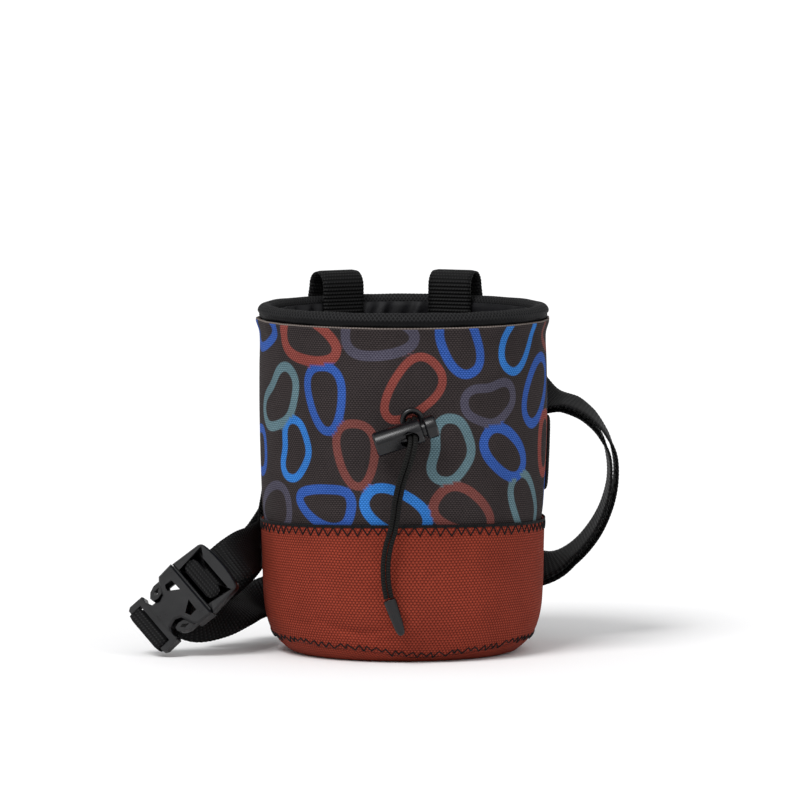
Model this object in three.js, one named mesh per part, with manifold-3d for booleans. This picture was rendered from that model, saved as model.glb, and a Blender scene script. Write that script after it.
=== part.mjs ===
import * as THREE from 'three';
import { mergeVertices } from 'three/addons/utils/BufferGeometryUtils.js';
import Module from 'manifold-3d';

// A cylindrical cloth chalk bag with a closed drawcord, two webbing belt loops at the back
// and a waist belt wound twice round behind it. Millimetres, +Z up, front towards -Y,
// origin in the middle of the flat base.

// Bag
const BAG_RADIUS = 59.3;
const BAG_HEIGHT = 143.4;
const BASE_RADIUS = 44.5;
const SEAM_HEIGHT = 54.3;
const SEAM_TUCK = 4.3;
const SEAM_RISE = 2.2;
const CLOTH = 1.1;
const GAP = 0.3;
const RIM_TUBE = 3.1;
const BAG_SIDES = 48;

// Webbing
const WEBBING_WIDTH = 19;
const WEBBING_THICKNESS = 1.4;
const LOOP_RISE = 10.4;
const LOOP_ANGLE = 26;
const LOOP_TAIL = 42;
const LAYER_PITCH = 2.2;
const STRAP_STEP = 9;

// Brush loop
const ELASTIC_WIDTH = 31;
const ELASTIC_THICKNESS = 1.3;
const ELASTIC_MIDDLE = 81.5;
const ELASTIC_START = -2;
const ELASTIC_SPAN = 43;
const ELASTIC_BULGE = 0.9;

// Drawcord, eyelet and cord lock
const CORD_DIAMETER = 2;
const CORD_SPACING = 2.3;
const EYELET_HEIGHT = 100.2;
const EYELET_RADIUS = 5;
const EYELET_HOLE = 2.6;
const LOCK_LENGTH = 20;
const LOCK_RADIUS = 5;
const LOCK_FLAT = 4.3;
const LOCK_BORE = 3.3;
const LOCK_TILT = 18;
const LOCK_ROLL = 28;
const LOCK_HOLE = 4;
const CAP_LENGTH = 4.9;
const CAP_TRAVEL_GAP = 1.4;
const CORD_END_LENGTH = 15.7;
const CORD_END_RADIUS = 2.6;

// Side-release buckle
const BUCKLE_REACH = 21;
const BUCKLE_HALF_WIDTH = 13.6;
const BUCKLE_THICKNESS = 7.4;
const BUCKLE_WALL = 1.25;
const BUCKLE_SLOPE = 42.5;
const BUCKLE_ROLL = 24;
const BUCKLE_YAW = -3.5;
const BAR_PLATE = 4.4;
const BAR_THICKNESS = 3;
const FRAME_THICKNESS = 5.2;

const radians = THREE.MathUtils.degToRad;
const wasm = await Module();
wasm.setup();

// Outer skin of the boot and of the panel: height as a share of the seam height or of the
// bag's height, radius as a share of the bag's radius
const BOOT_PROFILE = [
  { height: 0.058, radius: 0.852 },
  { height: 0.11, radius: 0.893 },
  { height: 0.2, radius: 0.932 },
  { height: 0.33, radius: 0.962 },
  { height: 0.53, radius: 0.977 },
  { height: 0.8, radius: 0.984 },
  { height: 1, radius: 0.988 },
];
const PANEL_PROFILE = [
  { height: 0.42, radius: 0.98 },
  { height: 0.54, radius: 0.992 },
  { height: 0.68, radius: 1 },
  { height: 0.82, radius: 0.998 },
  { height: 0.95, radius: 0.996 },
];

// Soft dents: compass angle in degrees, height as a share of the bag's height,
// reach in degrees, tallness and depth as shares of the bag's height and radius
const DENTS = [
  { angle: -118, height: 0.09, reach: 16, tall: 0.05, depth: 0.018 },
  { angle: -88, height: 0.05, reach: 10, tall: 0.04, depth: 0.012 },
  { angle: -52, height: 0.07, reach: 13, tall: 0.05, depth: 0.014 },
  { angle: 35, height: 0.1, reach: 18, tall: 0.06, depth: 0.012 },
  { angle: 120, height: 0.08, reach: 20, tall: 0.06, depth: 0.014 },
];

// Seams between the lining's parts, as shares of the bag's height
const LINING_SEAMS = { low: 0.06, high: 0.88 };

// Gathers of the lining below the rim, pulled in by the drawcord
const GATHERS = [
  { angle: 158, reach: 6, depth: 0.045 },
  { angle: 141, reach: 5, depth: 0.055 },
  { angle: 97, reach: 4, depth: 0.04 },
  { angle: 86, reach: 4, depth: 0.05 },
  { angle: 30, reach: 12, depth: 0.03 },
  { angle: -30, reach: 9, depth: 0.04 },
  { angle: -75, reach: 8, depth: 0.05 },
  { angle: -125, reach: 9, depth: 0.045 },
];

// Right-hand hoop of the belt, between its two exits from behind the bag: place as shares of
// the bag's radius and height, and the direction that its outer face looks
const HOOP = [
  { x: 1.04, y: 0.61, z: 0.208, face: [0.35, 0.5, -0.79] },
  { x: 1.228, y: 0.6, z: 0.247, face: [0.6, 0.2, -0.78] },
  { x: 1.365, y: 0.575, z: 0.308, face: [0.82, 0.12, -0.56] },
  { x: 1.46, y: 0.55, z: 0.383, face: [0.95, 0.05, -0.3] },
  { x: 1.507, y: 0.53, z: 0.465, face: [1, 0, 0] },
  { x: 1.5, y: 0.53, z: 0.54, face: [0.97, 0, 0.25] },
  { x: 1.443, y: 0.535, z: 0.6, face: [0.8, -0.1, 0.6] },
  { x: 1.343, y: 0.54, z: 0.653, face: [0.6, -0.2, 0.77] },
  { x: 1.217, y: 0.565, z: 0.685, face: [0.35, -0.28, 0.9] },
  { x: 1.06, y: 0.64, z: 0.705, face: [0.1, -0.45, 0.88] },
  { x: 0.83, y: 0.77, z: 0.785, face: [-0.42, -0.72, 0.42] },
];

// Left-hand fold of the belt, where the first winding comes down and turns back behind the
// bag round a leaning axis: compass angle that it stands off, place as shares
const LEFT_FOLD = { x: -1.38, y: 0.11, z: 0.16, compass: 98, lean: 10, radius: 2.4, advance: 0.5 };

// Lower strand between the buckle and the bag, and upper strand between the bag and the buckle
const LOWER_STRAND = [
  { x: -1.45, y: -0.14, z: 0.097, face: [-0.35, 0.9, -0.15] },
  { x: -1.31, y: -0.04, z: 0.1, face: [-0.4, 0.8, -0.4] },
  { x: -1.16, y: 0.11, z: 0.114, face: [-0.3, 0.62, -0.72] },
  { x: -1.085, y: 0.25, z: 0.123, face: [-0.36, 0.54, -0.76] },
  { x: -1, y: 0.475, z: 0.121, face: [-0.45, 0.6, -0.66] },
];
const UPPER_STRAND = [
  { x: -1.035, y: 0.07, z: 0.292, face: [0.88, -0.42, 0.2] },
  { x: -1.105, y: -0.1, z: 0.288, face: [0.66, -0.66, 0.36] },
  { x: -1.17, y: -0.235, z: 0.279, face: [0.15, -0.9, 0.4] },
];

// The first winding on its way to the fold behind the buckle, and back from it
const TO_FOLD = [
  { x: -0.99, y: 0.41, z: 0.3, face: [0.75, -0.65, 0.1] },
  { x: -1.147, y: 0.25, z: 0.238, face: [0.35, -0.9, 0.2] },
  { x: -1.28, y: 0.165, z: 0.194, face: [0.2, -0.97, 0.15] },
];
const FROM_FOLD = [
  { x: -1.28, y: 0.228, z: 0.128, face: [-0.2, 0.9, -0.4] },
  { x: -1.135, y: 0.345, z: 0.116, face: [-0.22, 0.55, -0.8] },
  { x: -1.03, y: 0.52, z: 0.118, face: [-0.35, 0.5, -0.79] },
];

// Drawcord, from inside the eyelet through the cord lock to the cord end: hand-picked points
// of the line midway between its two strands
const CORD_ROUTE = [
  [-0.2, -58.3, 100.6],
  [-0.3, -60.9, 99.8],
  [-1.9, -63.1, 97.3],
  [-0.9, -66.4, 95.4],
  [-0.4, -69.9, 93.7],
  [-0.6, -72.4, 91.5],
  [-1.4, -73.6, 88],
  [-3, -72.9, 82.5],
  [-5.1, -70.3, 75.5],
  [-6.6, -66.8, 67.5],
  [-7.3, -64, 60.5],
  [-8.1, -62.8, 55.5],
  [-9.8, -62.1, 49.5],
  [-10.9, -61.8, 42],
  [-10.7, -61.4, 34],
  [-9.6, -61, 27.8],
];
const CORD_END_TIP = [-4.1, -60.2, 12.3];

function material(color, roughness, metalness = 0) {
  return new THREE.MeshStandardMaterial({ color, roughness, metalness });
}

function closed(geometry) {
  // merge the shared vertices, so that the faces form one closed body
  geometry.deleteAttribute('normal');
  geometry.deleteAttribute('uv');
  return mergeVertices(geometry, 1e-4);
}

function piece(name, geometry, look) {
  const mesh = new THREE.Mesh(geometry, look);
  mesh.name = name;
  return mesh;
}

function toSolid(geometry) {
  const plain = closed(geometry.clone());
  const vertProperties = new Float32Array(plain.attributes.position.array);
  const triVerts = new Uint32Array(plain.index.array);
  return new wasm.Manifold(new wasm.Mesh({ numProp: 3, vertProperties, triVerts }));
}

function toGeometry(solid) {
  const mesh = solid.getMesh();
  const geometry = new THREE.BufferGeometry();
  geometry.setAttribute('position', new THREE.BufferAttribute(mesh.vertProperties, 3));
  geometry.setIndex(new THREE.BufferAttribute(mesh.triVerts, 1));
  return geometry;
}

function cut(geometry, ...tools) {
  let solid = toSolid(geometry);
  for (const tool of tools) {
    solid = solid.subtract(toSolid(tool));
  }
  return toGeometry(solid);
}

function join(geometry, ...others) {
  let solid = toSolid(geometry);
  for (const other of others) {
    solid = solid.add(toSolid(other));
  }
  return toGeometry(solid);
}

function interpolate(rows, height) {
  // radius of a profile of [radius, height] rows at a height
  if (height <= rows[0][1]) return rows[0][0];
  for (let i = 1; i < rows.length; i += 1) {
    if (height <= rows[i][1]) {
      const share = (height - rows[i - 1][1]) / (rows[i][1] - rows[i - 1][1]);
      return THREE.MathUtils.lerp(rows[i - 1][0], rows[i][0], share);
    }
  }
  return rows[rows.length - 1][0];
}

function inset(rows, distance) {
  // the same profile, moved inwards along its own normals
  return rows.map(([radius, height], i) => {
    const before = rows[Math.max(i - 1, 0)];
    const after = rows[Math.min(i + 1, rows.length - 1)];
    const along = new THREE.Vector2(after[0] - before[0], after[1] - before[1]).normalize();
    return [radius - along.y * distance, height + along.x * distance];
  });
}

function revolve(rows) {
  const points = rows.map(([radius, height]) => new THREE.Vector2(radius, height));
  const geometry = new THREE.LatheGeometry(points, BAG_SIDES);
  geometry.rotateX(Math.PI / 2);
  return closed(geometry);
}

function wall(outer, thickness) {
  // a ring-shaped wall whose profile closes on itself
  const inner = inset(outer, thickness).reverse();
  return revolve([...outer, ...inner, outer[0]]);
}

function bell(distance, reach) {
  return Math.exp(-((distance / reach) ** 2));
}

function turnBetween(angle, centre) {
  return ((angle - centre + 540) % 360) - 180;
}

function dentShare(angle, height) {
  let share = 0;
  for (const dent of DENTS) {
    const aside = bell(turnBetween(angle, dent.angle), dent.reach);
    share += dent.depth * aside * bell(height / BAG_HEIGHT - dent.height, dent.tall);
  }
  return share;
}

function gatherShare(angle, height) {
  const below = (BAG_HEIGHT - RIM_TUBE * 2 - height) / BAG_HEIGHT;
  const fade = bell(below - 0.03, 0.06);
  let share = 0;
  for (const fold of GATHERS) {
    share += fold.depth * bell(turnBetween(angle, fold.angle), fold.reach);
  }
  return share * fade;
}

function drape(geometry, gathered = false) {
  // dents draw the cloth towards the axis, and the seam rises at the front
  const place = geometry.attributes.position;
  for (let i = 0; i < place.count; i += 1) {
    const x = place.getX(i);
    const y = place.getY(i);
    const z = place.getZ(i);
    const angle = THREE.MathUtils.radToDeg(Math.atan2(y, x));
    const front = Math.max(0, -Math.sin(radians(angle))) ** 2;
    const rise = SEAM_RISE * front * bell((z - SEAM_HEIGHT) / SEAM_HEIGHT, 0.4);
    const drawn = dentShare(angle, z) + (gathered ? gatherShare(angle, z) : 0);
    place.setXYZ(i, x * (1 - drawn), y * (1 - drawn), z + rise);
  }
  return geometry;
}

// Profiles of the cloth shells
const bootOuter = BOOT_PROFILE.map((row) => [row.radius * BAG_RADIUS, row.height * SEAM_HEIGHT]);
const bootTop = bootOuter[bootOuter.length - 1][0];
const tuckRadius = bootTop - CLOTH - GAP;
const panelTop = BAG_HEIGHT - RIM_TUBE * 2 - GAP;
const panelOuter = [
  [tuckRadius, SEAM_HEIGHT - SEAM_TUCK],
  [tuckRadius + 0.1, SEAM_HEIGHT + GAP],
  ...PANEL_PROFILE.map((row) => [row.radius * BAG_RADIUS, row.height * BAG_HEIGHT]),
];
panelOuter[panelOuter.length - 1][1] = panelTop;
const skin = [...bootOuter.slice(0, -1), ...panelOuter.slice(1)];
const rimRadius = BAG_RADIUS - RIM_TUBE + 0.7;
const rimHeight = BAG_HEIGHT - RIM_TUBE;

function basePanel() {
  const turnUp = bootOuter[0];
  const outer = [
    [BASE_RADIUS, 0],
    [THREE.MathUtils.lerp(BASE_RADIUS, turnUp[0], 0.6), turnUp[1] * 0.25],
    [turnUp[0] - GAP, turnUp[1] - GAP],
  ];
  const inner = inset(outer, CLOTH).reverse();
  inner[inner.length - 1] = [BASE_RADIUS, CLOTH];
  return drape(revolve([[0, 0], ...outer, ...inner, [0, CLOTH]]));
}

function liningSkin() {
  // hangs inside the shells: follows their inner side, and turns in to the rim at the mouth
  const slack = CLOTH + GAP + 0.3;
  const shares = [0.07, 0.12, 0.2, 0.33, 0.44, 0.58, 0.75, 0.88];
  const rows = shares.map((share) => {
    const height = share * BAG_HEIGHT;
    const nearSeam = Math.abs(height - SEAM_HEIGHT) < SEAM_HEIGHT * 0.25;
    return [interpolate(skin, height) - slack - (nearSeam ? CLOTH : 0), height];
  });
  const mouthRadius = rimRadius - RIM_TUBE - GAP;
  return [
    [BASE_RADIUS * 0.94, CLOTH + GAP],
    [BASE_RADIUS * 1.05, CLOTH + GAP + 2.4],
    ...rows,
    [THREE.MathUtils.lerp(rows[rows.length - 1][0], mouthRadius, 0.65), BAG_HEIGHT * 0.935],
    [mouthRadius, rimHeight - RIM_TUBE / 2],
    [mouthRadius, rimHeight + GAP],
  ];
}

function liningBand(from, to) {
  // the part of the cup between two heights, a seam's gap short of the next part
  const low = from === 0 ? CLOTH + GAP : from * BAG_HEIGHT + GAP / 2;
  const high = Math.min(to * BAG_HEIGHT - GAP / 2, rimHeight + GAP);
  const cup = liningSkin();
  const between = cup.filter(([, height]) => height > low + 1 && height < high - 1);
  const outer = [[interpolate(cup, low), low], ...between, [interpolate(cup, high), high]];
  const inner = inset(outer, CLOTH).reverse();
  inner[0][1] = high;
  inner[inner.length - 1][1] = low;
  return drape(revolve([...outer, ...inner, outer[0]]), true);
}

function liningFloor() {
  const radius = BASE_RADIUS * 0.94 - CLOTH - GAP * 2;
  const low = CLOTH + GAP;
  return revolve([[0, low], [radius, low], [radius, low + CLOTH], [0, low + CLOTH]]);
}

function rimBinding() {
  const ring = [];
  const sides = 8;
  for (let i = 0; i <= sides; i += 1) {
    const turn = (2 * Math.PI * (i % sides)) / sides + Math.PI / sides;
    const scale = RIM_TUBE / Math.cos(Math.PI / sides);
    ring.push([rimRadius + scale * Math.cos(turn), rimHeight + scale * Math.sin(turn)]);
  }
  return revolve(ring);
}

function upperPanel() {
  const hole = new THREE.CylinderGeometry(EYELET_HOLE + 1.1, EYELET_HOLE + 1.1, 8, 16);
  hole.translate(0, -BAG_RADIUS, EYELET_HEIGHT);
  return cut(drape(wall(panelOuter, CLOTH)), hole);
}

// Strips of webbing: rows of {at, face}; a strip runs through the places with its outer face
// turned as told
function ribbon(rows, width, thickness, step = STRAP_STEP) {
  const places = new THREE.CatmullRomCurve3(rows.map((row) => row.at), false, 'centripetal');
  const faces = new THREE.CatmullRomCurve3(rows.map((row) => row.face), false, 'catmullrom', 0.3);
  const stops = [0];
  for (let i = 1; i < rows.length; i += 1) {
    const length = rows[i].at.distanceTo(rows[i - 1].at);
    const parts = Math.max(1, Math.round(length / step + 0.2));
    for (let part = 1; part <= parts; part += 1) {
      stops.push((i - 1 + part / parts) / (rows.length - 1));
    }
  }
  const corners = [];
  for (const stop of stops) {
    const middle = places.getPoint(stop);
    const before = places.getPoint(Math.max(stop - 1e-3, 0));
    const along = places.getPoint(Math.min(stop + 1e-3, 1)).sub(before).normalize();
    const face = faces.getPoint(stop);
    face.addScaledVector(along, -face.dot(along)).normalize();
    const across = new THREE.Vector3().crossVectors(face, along);
    for (const [a, b] of [[-1, -1], [1, -1], [1, 1], [-1, 1]]) {
      const corner = middle.clone().addScaledVector(across, (a * width) / 2);
      corners.push(corner.addScaledVector(face, (b * thickness) / 2));
    }
  }
  const triangles = [];
  const last = corners.length - 4;
  for (let ring = 0; ring < last; ring += 4) {
    for (let side = 0; side < 4; side += 1) {
      const next = (side + 1) % 4;
      const a = ring + side;
      const b = ring + next;
      triangles.push(a, b, b + 4, a, b + 4, a + 4);
    }
  }
  triangles.push(0, 2, 1, 0, 3, 2, last, last + 1, last + 2, last, last + 2, last + 3);
  const geometry = new THREE.BufferGeometry().setFromPoints(corners);
  geometry.setIndex(triangles);
  return geometry;
}

function around(radius, angle, height) {
  const turn = radians(angle);
  return new THREE.Vector3(radius * Math.cos(turn), radius * Math.sin(turn), height);
}

// Belt loop: up the inside of the mouth, over the rim, down the outside of the back
const legInside = rimRadius - RIM_TUBE - GAP * 2 - CLOTH - WEBBING_THICKNESS / 2 - 0.9;
const strapRadius = BAG_RADIUS + GAP * 2 + WEBBING_THICKNESS / 2 + LAYER_PITCH / 2;
const legOutside = strapRadius + LAYER_PITCH / 2 + WEBBING_THICKNESS + GAP;
const archRadius = (BAG_RADIUS + GAP + 3 - legInside) / 2;

function beltLoop(angle) {
  const outward = around(1, angle, 0);
  const sewn = BAG_RADIUS + GAP + WEBBING_THICKNESS / 2;
  const archHeight = BAG_HEIGHT + LOOP_RISE - WEBBING_THICKNESS / 2 - archRadius;
  const sewnHeight = BAG_HEIGHT - LOOP_TAIL;
  const rows = [
    [legInside, BAG_HEIGHT - 17, -1, 0],
    [legInside, archHeight - 6, -1, 0],
    [legInside, archHeight, -1, 0],
  ];
  for (let turn = 30; turn < 180; turn += 30) {
    const across = -Math.cos(radians(turn));
    const up = Math.sin(radians(turn));
    rows.push([legInside + archRadius * (1 + across), archHeight + archRadius * up, across, up]);
  }
  rows.push([legInside + archRadius * 2, archHeight, 1, 0]);
  rows.push([legOutside, BAG_HEIGHT - 4, 1, 0]);
  rows.push([legOutside, sewnHeight + 12, 1, 0]);
  rows.push([sewn + 1.4, sewnHeight + 4, 1, 0]);
  rows.push([sewn, sewnHeight - 2, 1, 0]);
  rows.push([sewn, sewnHeight - 7, 1, 0]);
  const track = rows.map(([reach, height, across, up]) => ({
    at: outward.clone().multiplyScalar(reach).setZ(height),
    face: outward.clone().multiplyScalar(across).setZ(up),
  }));
  return ribbon(track, WEBBING_WIDTH, WEBBING_THICKNESS);
}

function brushLoop() {
  const rows = [];
  const parts = 10;
  for (let part = 0; part <= parts; part += 1) {
    const angle = ELASTIC_START + (ELASTIC_SPAN * part) / parts;
    const bulge = ELASTIC_BULGE * Math.sin((Math.PI * part) / parts);
    const reach = BAG_RADIUS + GAP + ELASTIC_THICKNESS / 2 + bulge;
    rows.push({ at: around(reach, angle, ELASTIC_MIDDLE), face: around(1, angle, 0) });
  }
  return ribbon(rows, ELASTIC_WIDTH, ELASTIC_THICKNESS);
}

// Buckle frame: x towards the ladder-lock end, y across and up, z out of its front face
const buckleFrame = new THREE.Matrix4()
  .makeTranslation(BAG_RADIUS * -1.551, BAG_RADIUS * -0.31, BAG_HEIGHT * 0.16)
  .multiply(new THREE.Matrix4().makeRotationZ(radians(BUCKLE_YAW)))
  .multiply(new THREE.Matrix4().makeRotationY(radians(-BUCKLE_SLOPE)))
  .multiply(new THREE.Matrix4().makeRotationX(radians(90 - BUCKLE_ROLL)));

// Places along the buckle, from its middle
const slot = WEBBING_THICKNESS + GAP * 2;
const socketBar = { inner: -BUCKLE_REACH + 4.5, outer: -BUCKLE_REACH + 1.5 };
const socketMouth = BUCKLE_REACH * 0.3;
const frameBar = { inner: socketMouth + slot + 1, outer: socketMouth + 6.4 + slot };
const crossbar = { inner: BUCKLE_REACH - 3, outer: BUCKLE_REACH + 1.4 };

function onBuckle(x, z, faceX, faceZ) {
  const at = new THREE.Vector3(x, 0, z).applyMatrix4(buckleFrame);
  const face = new THREE.Vector3(faceX, 0, faceZ).transformDirection(buckleFrame);
  return { at, face };
}

function socketWrap() {
  // from the sewn end behind the bar, up through the slot, over the bar and back below
  const half = BAR_THICKNESS / 2 + GAP + WEBBING_THICKNESS / 2;
  const inner = socketBar.inner + GAP + WEBBING_THICKNESS / 2;
  const outer = socketBar.outer - GAP - WEBBING_THICKNESS / 2;
  return [
    onBuckle(inner + 3.1, -3.8, 0, 1),
    onBuckle(inner + 1.5, -3.7, 0.3, 1),
    onBuckle(inner + 0.2, -3, 0.7, 0.7),
    onBuckle(inner, -1.7, 1, 0.1),
    onBuckle(inner, 0.7, 1, 0),
    onBuckle(inner - 0.25, half - 0.3, 0.7, 0.7),
    onBuckle(inner - 1.6, half + 0.1, 0, 1),
    onBuckle(outer + 1.4, half + 0.1, 0, 1),
    onBuckle(outer + 0.3, half - 0.3, -0.7, 0.7),
    onBuckle(outer, 0.8, -1, 0),
    onBuckle(outer, -1.4, -1, 0),
    onBuckle(outer + 0.4, -3.4, -0.9, -0.5),
    onBuckle(outer + 2.2, -5.3, -0.5, -1),
    onBuckle(outer + 5.2, -6, 0, -1),
    onBuckle(outer + 10, -6.3, 0, -1),
    onBuckle(outer + 14, -6.9, 0.1, -1),
  ];
}

function ladderLock() {
  // in behind the crossbar, over the locking bar, and back out as a short tail
  const bar = (frameBar.inner + frameBar.outer) / 2;
  const reach = (frameBar.outer - frameBar.inner) / 2 + GAP + WEBBING_THICKNESS / 2;
  const behind = -(FRAME_THICKNESS / 2 + GAP + WEBBING_THICKNESS / 2);
  const top = 1.1 + GAP + WEBBING_THICKNESS / 2;
  const tail = behind - WEBBING_THICKNESS - GAP * 1.6;
  return [
    onBuckle(crossbar.outer + 2, behind - 0.2, 0, 1),
    onBuckle(crossbar.inner + 1, behind - 0.1, 0, 1),
    onBuckle(crossbar.inner - 0.6, behind + 0.1, -0.4, 1),
    onBuckle(bar + reach + 0.7, -2.1, -0.9, 0.5),
    onBuckle(bar + reach + 0.3, 0, -1, 0),
    onBuckle(bar + reach - 0.1, top - 0.3, -0.8, -0.6),
    onBuckle(bar + reach - 1.4, top + 0.2, -0.2, -1),
    onBuckle(bar - reach + 1.4, top + 0.1, 0.2, -1),
    onBuckle(bar - reach + 0.2, top - 0.4, 0.8, -0.6),
    onBuckle(bar - reach - 0.05, 0.6, 1, -0.1),
    onBuckle(bar - reach, -0.8, 1, 0.1),
    onBuckle(bar - reach + 0.3, -2.1, 0.9, 0.5),
    onBuckle(bar - reach + 1.8, -3, 0.5, 1),
    onBuckle(bar + 0.8, -3.9, 0.3, 1),
    onBuckle(bar + reach + 0.3, tail + 0.4, 0.2, 1),
    onBuckle(crossbar.inner + 0.6, tail, 0, 1),
  ];
}

function free(rows, layer = 0) {
  // rows of shares, moved outwards by a part of the layers' pitch
  return rows.map((row) => {
    const face = new THREE.Vector3(...row.face).normalize();
    const at = new THREE.Vector3(row.x * BAG_RADIUS, row.y * BAG_RADIUS, row.z * BAG_HEIGHT);
    return { at: at.addScaledVector(face, layer * LAYER_PITCH), face };
  });
}

function behind(radius, stops, facing, layer) {
  // along the bag's back: stops are [compass angle, share of the bag's height]
  const reach = radius + facing * layer * LAYER_PITCH;
  return stops.map(([angle, share]) => ({
    at: around(reach, angle, share * BAG_HEIGHT),
    face: around(facing, angle, 0),
  }));
}

function leftFold() {
  // half a turn of a helix; the face looks away from the axis after it has looked at the bag
  const outward = around(1, LEFT_FOLD.compass, 0);
  const forward = around(1, LEFT_FOLD.compass + 90, 0);
  const lean = radians(LEFT_FOLD.lean);
  const axis = forward.clone().multiplyScalar(-Math.sin(lean)).setZ(-Math.cos(lean));
  const aside = forward.clone().multiplyScalar(Math.cos(lean)).setZ(-Math.sin(lean));
  const start = new THREE.Vector3(
    LEFT_FOLD.x * BAG_RADIUS,
    LEFT_FOLD.y * BAG_RADIUS,
    LEFT_FOLD.z * BAG_HEIGHT,
  );
  const rows = [];
  for (let turn = 0; turn <= 180; turn += 30) {
    const angle = radians(turn);
    const at = start.clone()
      .addScaledVector(aside, LEFT_FOLD.radius * Math.sin(angle))
      .addScaledVector(outward, LEFT_FOLD.radius * (1 - Math.cos(angle)))
      .addScaledVector(axis, LEFT_FOLD.radius * LEFT_FOLD.advance * angle);
    const face = aside.clone().multiplyScalar(Math.sin(angle))
      .addScaledVector(outward, -Math.cos(angle));
    rows.push({ at, face });
  }
  return rows;
}

function waistBelt() {
  const low = BAG_RADIUS * 0.985 + GAP * 2 + WEBBING_THICKNESS / 2 + LAYER_PITCH / 2;
  const backLow = [[140, 0.132], [124, 0.163], [106, 0.192], [86, 0.207], [68, 0.205], [54, 0.203]];
  const backTop = [[53, 0.862], [64, 0.875], [77, 0.878], [90, 0.878], [103, 0.878], [116, 0.875]];
  const firstDown = [[130, 0.868], [138, 0.77], [140, 0.65], [141, 0.53], [143, 0.41]];
  const lastDown = [
    [130, 0.868], [139, 0.77], [143, 0.66], [146, 0.55], [149.5, 0.455], [156, 0.375], [164, 0.308],
  ];
  const rows = [
    ...socketWrap(),
    ...free(LOWER_STRAND),
    ...behind(low, backLow, 1, -0.5),
    ...free(HOOP, -0.6),
    ...behind(strapRadius, backTop, -1, -0.5),
    ...behind(strapRadius, firstDown, -1, -0.5),
    ...free(TO_FOLD),
    ...leftFold(),
    ...free(FROM_FOLD),
    ...behind(low, backLow, 1, 0.5),
    ...free(HOOP, 0.6),
    ...behind(strapRadius, backTop, -1, 0.5),
    ...behind(strapRadius, lastDown, -1, 0.5),
    ...free(UPPER_STRAND),
    ...ladderLock(),
  ];
  return ribbon(rows, WEBBING_WIDTH, WEBBING_THICKNESS);
}

// Outlines of the buckle: along as a share of its reach, across as a share of its half width
const SOCKET_OUTLINE = [
  { along: 0.3, across: 1.03 },
  { along: -0.04, across: 0.99 },
  { along: -0.12, across: 0.84 },
  { along: -0.22, across: 0.46 },
  { along: -0.34, across: 0.38 },
  { along: -0.5, across: 0.46 },
  { along: -0.57, across: 0.68 },
  { along: -0.53, across: 0.82 },
  { along: -0.56, across: 0.9 },
  { along: -0.86, across: 0.91 },
  { along: -0.93, across: 0.84 },
];
const WINDOW_OUTLINE = [
  { along: 0.12, across: 0.22 },
  { along: 0.11, across: 0.62 },
  { along: -0.05, across: 0.64 },
  { along: -0.1, across: 0.46 },
];
const PRONG_OUTLINE = [
  { along: 0.24, across: 0.62 },
  { along: 0.24, across: 0.88 },
  { along: -0.1, across: 0.89 },
  { along: -0.24, across: 0.9 },
  { along: -0.37, across: 0.82 },
  { along: -0.45, across: 0.68 },
  { along: -0.44, across: 0.56 },
  { along: -0.34, across: 0.51 },
  { along: -0.22, across: 0.55 },
  { along: -0.1, across: 0.68 },
  { along: 0.14, across: 0.68 },
];
const EAR_HOLE = [
  { along: -0.17, across: 0.76 },
  { along: -0.3, across: 0.76 },
  { along: -0.36, across: 0.65 },
  { along: -0.29, across: 0.62 },
];

function outline(rows, mirrored = false) {
  // a closed outline; mirrored adds the same rows on the other side of the long axis
  const points = rows.map((row) => [row.along * BUCKLE_REACH, row.across * BUCKLE_HALF_WIDTH]);
  const other = mirrored ? points.map(([x, y]) => [x, -y]).reverse() : [];
  return new THREE.Shape([...points, ...other].map(([x, y]) => new THREE.Vector2(x, y)));
}

function slab(shape, thickness, bevel = 0) {
  const settings = { depth: thickness - bevel * 2, bevelEnabled: bevel > 0, curveSegments: 6 };
  settings.bevelThickness = bevel;
  settings.bevelSize = bevel;
  settings.bevelOffset = -bevel;
  settings.bevelSegments = 1;
  const geometry = new THREE.ExtrudeGeometry(shape, settings);
  geometry.translate(0, 0, -(thickness - bevel * 2) / 2);
  return geometry;
}

function block(x0, x1, halfWidth, z0, z1) {
  const geometry = new THREE.BoxGeometry(x1 - x0, halfWidth * 2, z1 - z0);
  geometry.translate((x0 + x1) / 2, 0, (z0 + z1) / 2);
  return geometry;
}

function mirrorAcross(rows) {
  return rows.map((row) => ({ along: row.along, across: -row.across })).reverse();
}

function buckleSocket() {
  const body = slab(outline(SOCKET_OUTLINE, true), BUCKLE_THICKNESS, 0.8);
  const half = BUCKLE_THICKNESS / 2;
  const wide = BUCKLE_HALF_WIDTH * 1.2;
  const plateEnd = BUCKLE_REACH * -0.56;
  const cavity = half - BUCKLE_WALL;
  const slotHalf = WEBBING_WIDTH / 2 + GAP;
  const shoulder = BUCKLE_HALF_WIDTH * 0.94;
  return cut(
    body,
    block(-BUCKLE_REACH * 1.2, plateEnd, wide, BAR_PLATE / 2, half + 1),
    block(-BUCKLE_REACH * 1.2, plateEnd, wide, -half - 1, -BAR_PLATE / 2),
    block(BUCKLE_REACH * -0.4, BUCKLE_REACH, shoulder, -cavity, cavity),
    block(socketBar.inner, socketBar.inner + slot, slotHalf, -half - 1, half + 1),
    block(-BUCKLE_REACH * 1.2, socketBar.outer, slotHalf, -half - 1, half + 1),
    block(socketBar.outer - 1, socketBar.inner, slotHalf, BAR_THICKNESS / 2, half),
    block(socketBar.outer - 1, socketBar.inner, slotHalf, -half, -BAR_THICKNESS / 2),
    slab(outline(WINDOW_OUTLINE), half * 4),
    slab(outline(mirrorAcross(WINDOW_OUTLINE)), half * 4),
  );
}

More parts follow.
